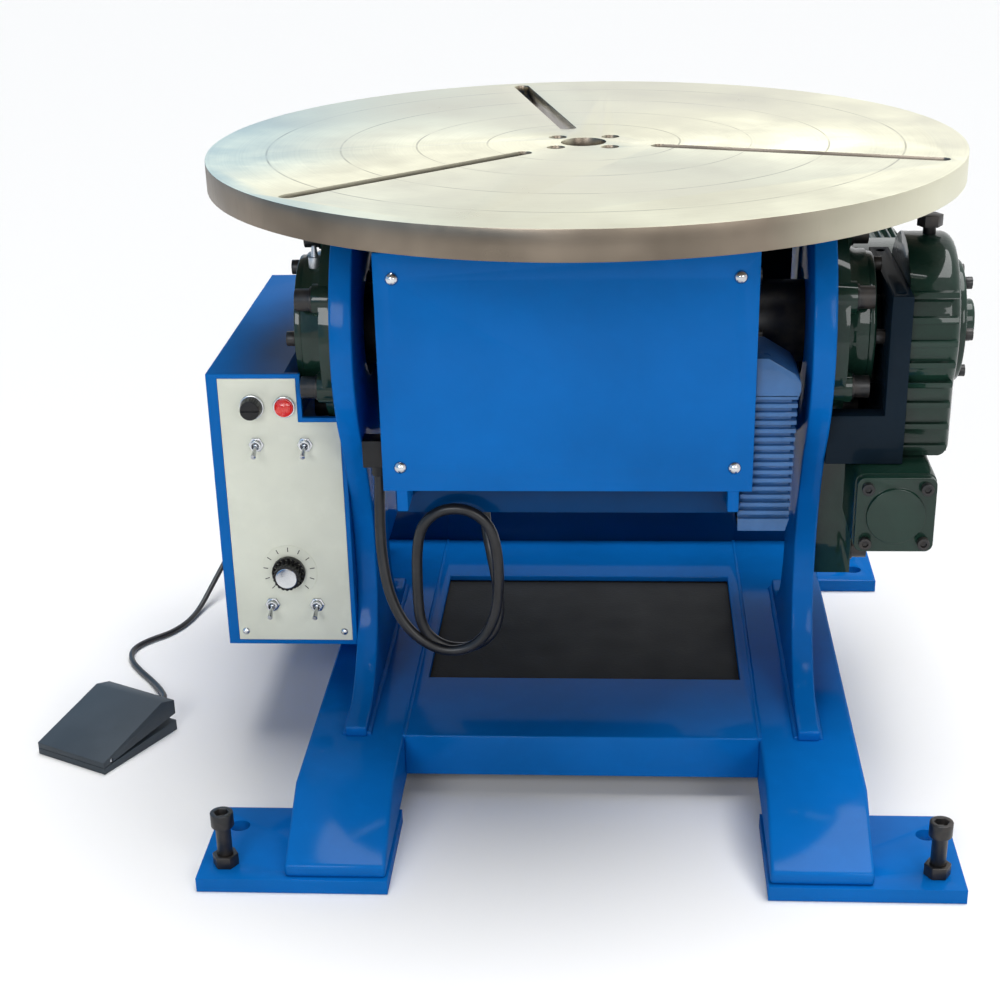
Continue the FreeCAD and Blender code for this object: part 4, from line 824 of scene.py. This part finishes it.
class POSITIONER_OT_switch_box(PositionerOperator):
    """Finishes the switch box with its panel, lamp, fuse, switches and dial"""
    bl_idname = "positioner.switch_box"
    bl_label = "Switch box"

    def execute(self, context):
        edge = self.sizes.edge
        finished("control_box", "cover", edge * 1.5, 3)
        finished("control_panel", "panel", edge * 0.3)
        finished("panel_bezels", "nickel", edge * 0.5)
        finished("toggle_bushings", "nickel", edge * 0.3)
        for number in range(1, 5):
            finished("toggle_lever_%d" % number, "nickel", edge * 0.4)
        finished("speed_knob", "phenolic", edge * 0.5)
        low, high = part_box("speed_knob")
        spot = ((low[0] + high[0]) / 2, low[1] + 0.0004, (low[2] + high[2]) / 2)
        turned("knob_cap", [(-0.0004, 0.0122), (0.0008, 0.0122), (0.0014, 0.0116), (0.0011, 0.0105),
                            (0.0011, 0.001)], spot, (0, -1, 0), "nickel", "knob")
        finished("fuse_cap", "phenolic", edge * 0.5)
        finished("speed_dial", "panel", edge * 0.2)
        low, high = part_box("speed_dial")
        centre = Vector(((low[0] + high[0]) / 2, low[1], (low[2] + high[2]) / 2))
        reach = (high[0] - low[0]) / 2
        bm = bmesh.new()
        for number in range(self.sizes.dial_marks):
            angle = math.radians(-135 + 270 * number / (self.sizes.dial_marks - 1))
            out = Vector((math.sin(angle), 0, math.cos(angle)))
            side = Vector((math.cos(angle), 0, -math.sin(angle))) * 0.0005
            a, b = centre + out * reach * 0.76, centre + out * reach * 0.93
            front = Vector((0, -0.0001, 0))
            bm.faces.new([bm.verts.new(spot + front)
                          for spot in (a - side, a + side, b + side, b - side)])
        piece_from("dial_marks", bm, "ink", "base")
        finished("panel_screws", "nickel", edge * 0.3)
        coat("pilot_lamp", "lens")
        for node in ("box_gland", "lead_elbow", "lead_gland"):
            finished(node, "phenolic", edge)
        return {"FINISHED"}


class POSITIONER_OT_pedal(PositionerOperator):
    """Finishes the foot pedal"""
    bl_idname = "positioner.pedal"
    bl_label = "Pedal"

    def execute(self, context):
        finished("pedal_base", "slate", self.sizes.edge * 1.2, 2)
        finished("pedal_tread", "slate", self.sizes.edge * 2.5, 3)
        coat("pedal_pin", "steel")
        coat("pedal_gland", "phenolic")
        return {"FINISHED"}


class POSITIONER_OT_feet(PositionerOperator):
    """Finishes the levelling screws and nuts"""
    bl_idname = "positioner.feet"
    bl_label = "Levelling screws"

    def execute(self, context):
        finished("levelling_screws", "oxide", self.sizes.edge * 0.6)
        finished("levelling_nuts", "oxide", self.sizes.edge * 0.6)
        return {"FINISHED"}


class POSITIONER_OT_stage(PositionerOperator):
    """Lays a pale floor and lights it with soft studio lamps"""
    bl_idname = "positioner.stage"
    bl_label = "Stage"

    def execute(self, context):
        bm = bmesh.new()
        bmesh.ops.create_grid(bm, x_segments=2, y_segments=2, size=20)
        mesh = bpy.data.meshes.new("Floor")
        bm.to_mesh(mesh)
        bm.free()
        floor = link(bpy.data.objects.new("Floor", mesh))
        floor.location.z = -0.0005
        material, tree, shader = new_material("studio_floor", Roughness=0.9,
                                              Base_Color=tuple(self.finish.floor))
        seen = seen_directly(tree)
        glow = add(tree, "Emission", {"Strength": add(tree, "Math", {0: seen, 1: 0.01},
                                                      operation="MULTIPLY").outputs[0]})
        both = add(tree, "AddShader", {0: shader.outputs[0], 1: glow.outputs[0]})
        tree.links.new(both.outputs[0], tree.nodes["Material Output"].inputs["Surface"])
        mesh.materials.append(material)

        world = bpy.data.worlds.new("Studio")
        context.scene.world = world
        world.use_nodes = True
        tree = world.node_tree
        seen = seen_directly(tree)
        level = add(tree, "MapRange", {"Value": seen, "To Min": 0.05, "To Max": 0.95}).outputs[0]
        tree.links.new(level, tree.nodes["Background"].inputs["Strength"])
        # The backdrop is a little cooler towards the left.
        way = add(tree, "SeparateXYZ", {0: add(tree, "TexCoord").outputs["Generated"]}).outputs["X"]
        tree.links.new(mixed(tree, banded(tree, way, -0.15, -0.27), (1, 1, 1), (0.42, 0.68, 1.0)),
                       tree.nodes["Background"].inputs["Color"])

        def lamp(name, kind, energy, place, aim, size=1.0, tall=None):
            light = bpy.data.lights.new(name, kind)
            light.energy = energy
            if kind == "AREA":
                light.shape = "RECTANGLE"
                light.size = size
                light.size_y = tall or size
            else:
                light.angle = size
            holder = link(bpy.data.objects.new(name, light))
            holder.location = place
            way = Vector(aim) - Vector(place)
            holder.rotation_euler = way.to_track_quat("-Z", "Y").to_euler()

        lamp("Overhead", "SUN", 3.2, (0.6, 0.3, 4.0), (0, 0, 0.3), math.radians(46))
        lamp("Key softbox", "AREA", 34, (-1.0, -3.1, 1.7), (0, 0, 0.4), 1.2, 1.0)
        lamp("Fill softbox", "AREA", 20, (1.5, -2.8, 1.6), (0, 0, 0.4), 1.0, 1.2)
        context.scene.view_settings.view_transform = "Standard"
        return {"FINISHED"}


STEPS = (POSITIONER_OT_camera, POSITIONER_OT_cords, POSITIONER_OT_base, POSITIONER_OT_table,
         POSITIONER_OT_housing, POSITIONER_OT_bearings, POSITIONER_OT_tilt_drive,
         POSITIONER_OT_turning_drive, POSITIONER_OT_switch_box, POSITIONER_OT_pedal,
         POSITIONER_OT_feet, POSITIONER_OT_stage)


class POSITIONER_PT_panel(bpy.types.Panel):
    """Lists the positioner's steps"""
    bl_idname = "POSITIONER_PT_panel"
    bl_label = "Welding positioner"
    bl_space_type = "VIEW_3D"
    bl_region_type = "UI"
    bl_category = "Positioner"

    def draw(self, context):
        for step in STEPS:
            self.layout.operator(step.bl_idname)
        for group in (context.scene.positioner_finish, context.scene.positioner_sizes):
            box = self.layout.box()
            for key in group.__annotations__:
                box.prop(group, key)


CLASSES = (PositionerFinish, PositionerSizes, *STEPS, POSITIONER_PT_panel)


def register():
    for item in CLASSES:
        bpy.utils.register_class(item)
    bpy.types.Scene.positioner_finish = PointerProperty(type=PositionerFinish)
    bpy.types.Scene.positioner_sizes = PointerProperty(type=PositionerSizes)


def unregister():
    del bpy.types.Scene.positioner_sizes
    del bpy.types.Scene.positioner_finish
    for item in reversed(CLASSES):
        bpy.utils.unregister_class(item)


def main():
    register()
    for step in STEPS:
        group, name = step.bl_idname.split(".")
        getattr(getattr(bpy.ops, group), name)()


if __name__ == "__main__":
    main()
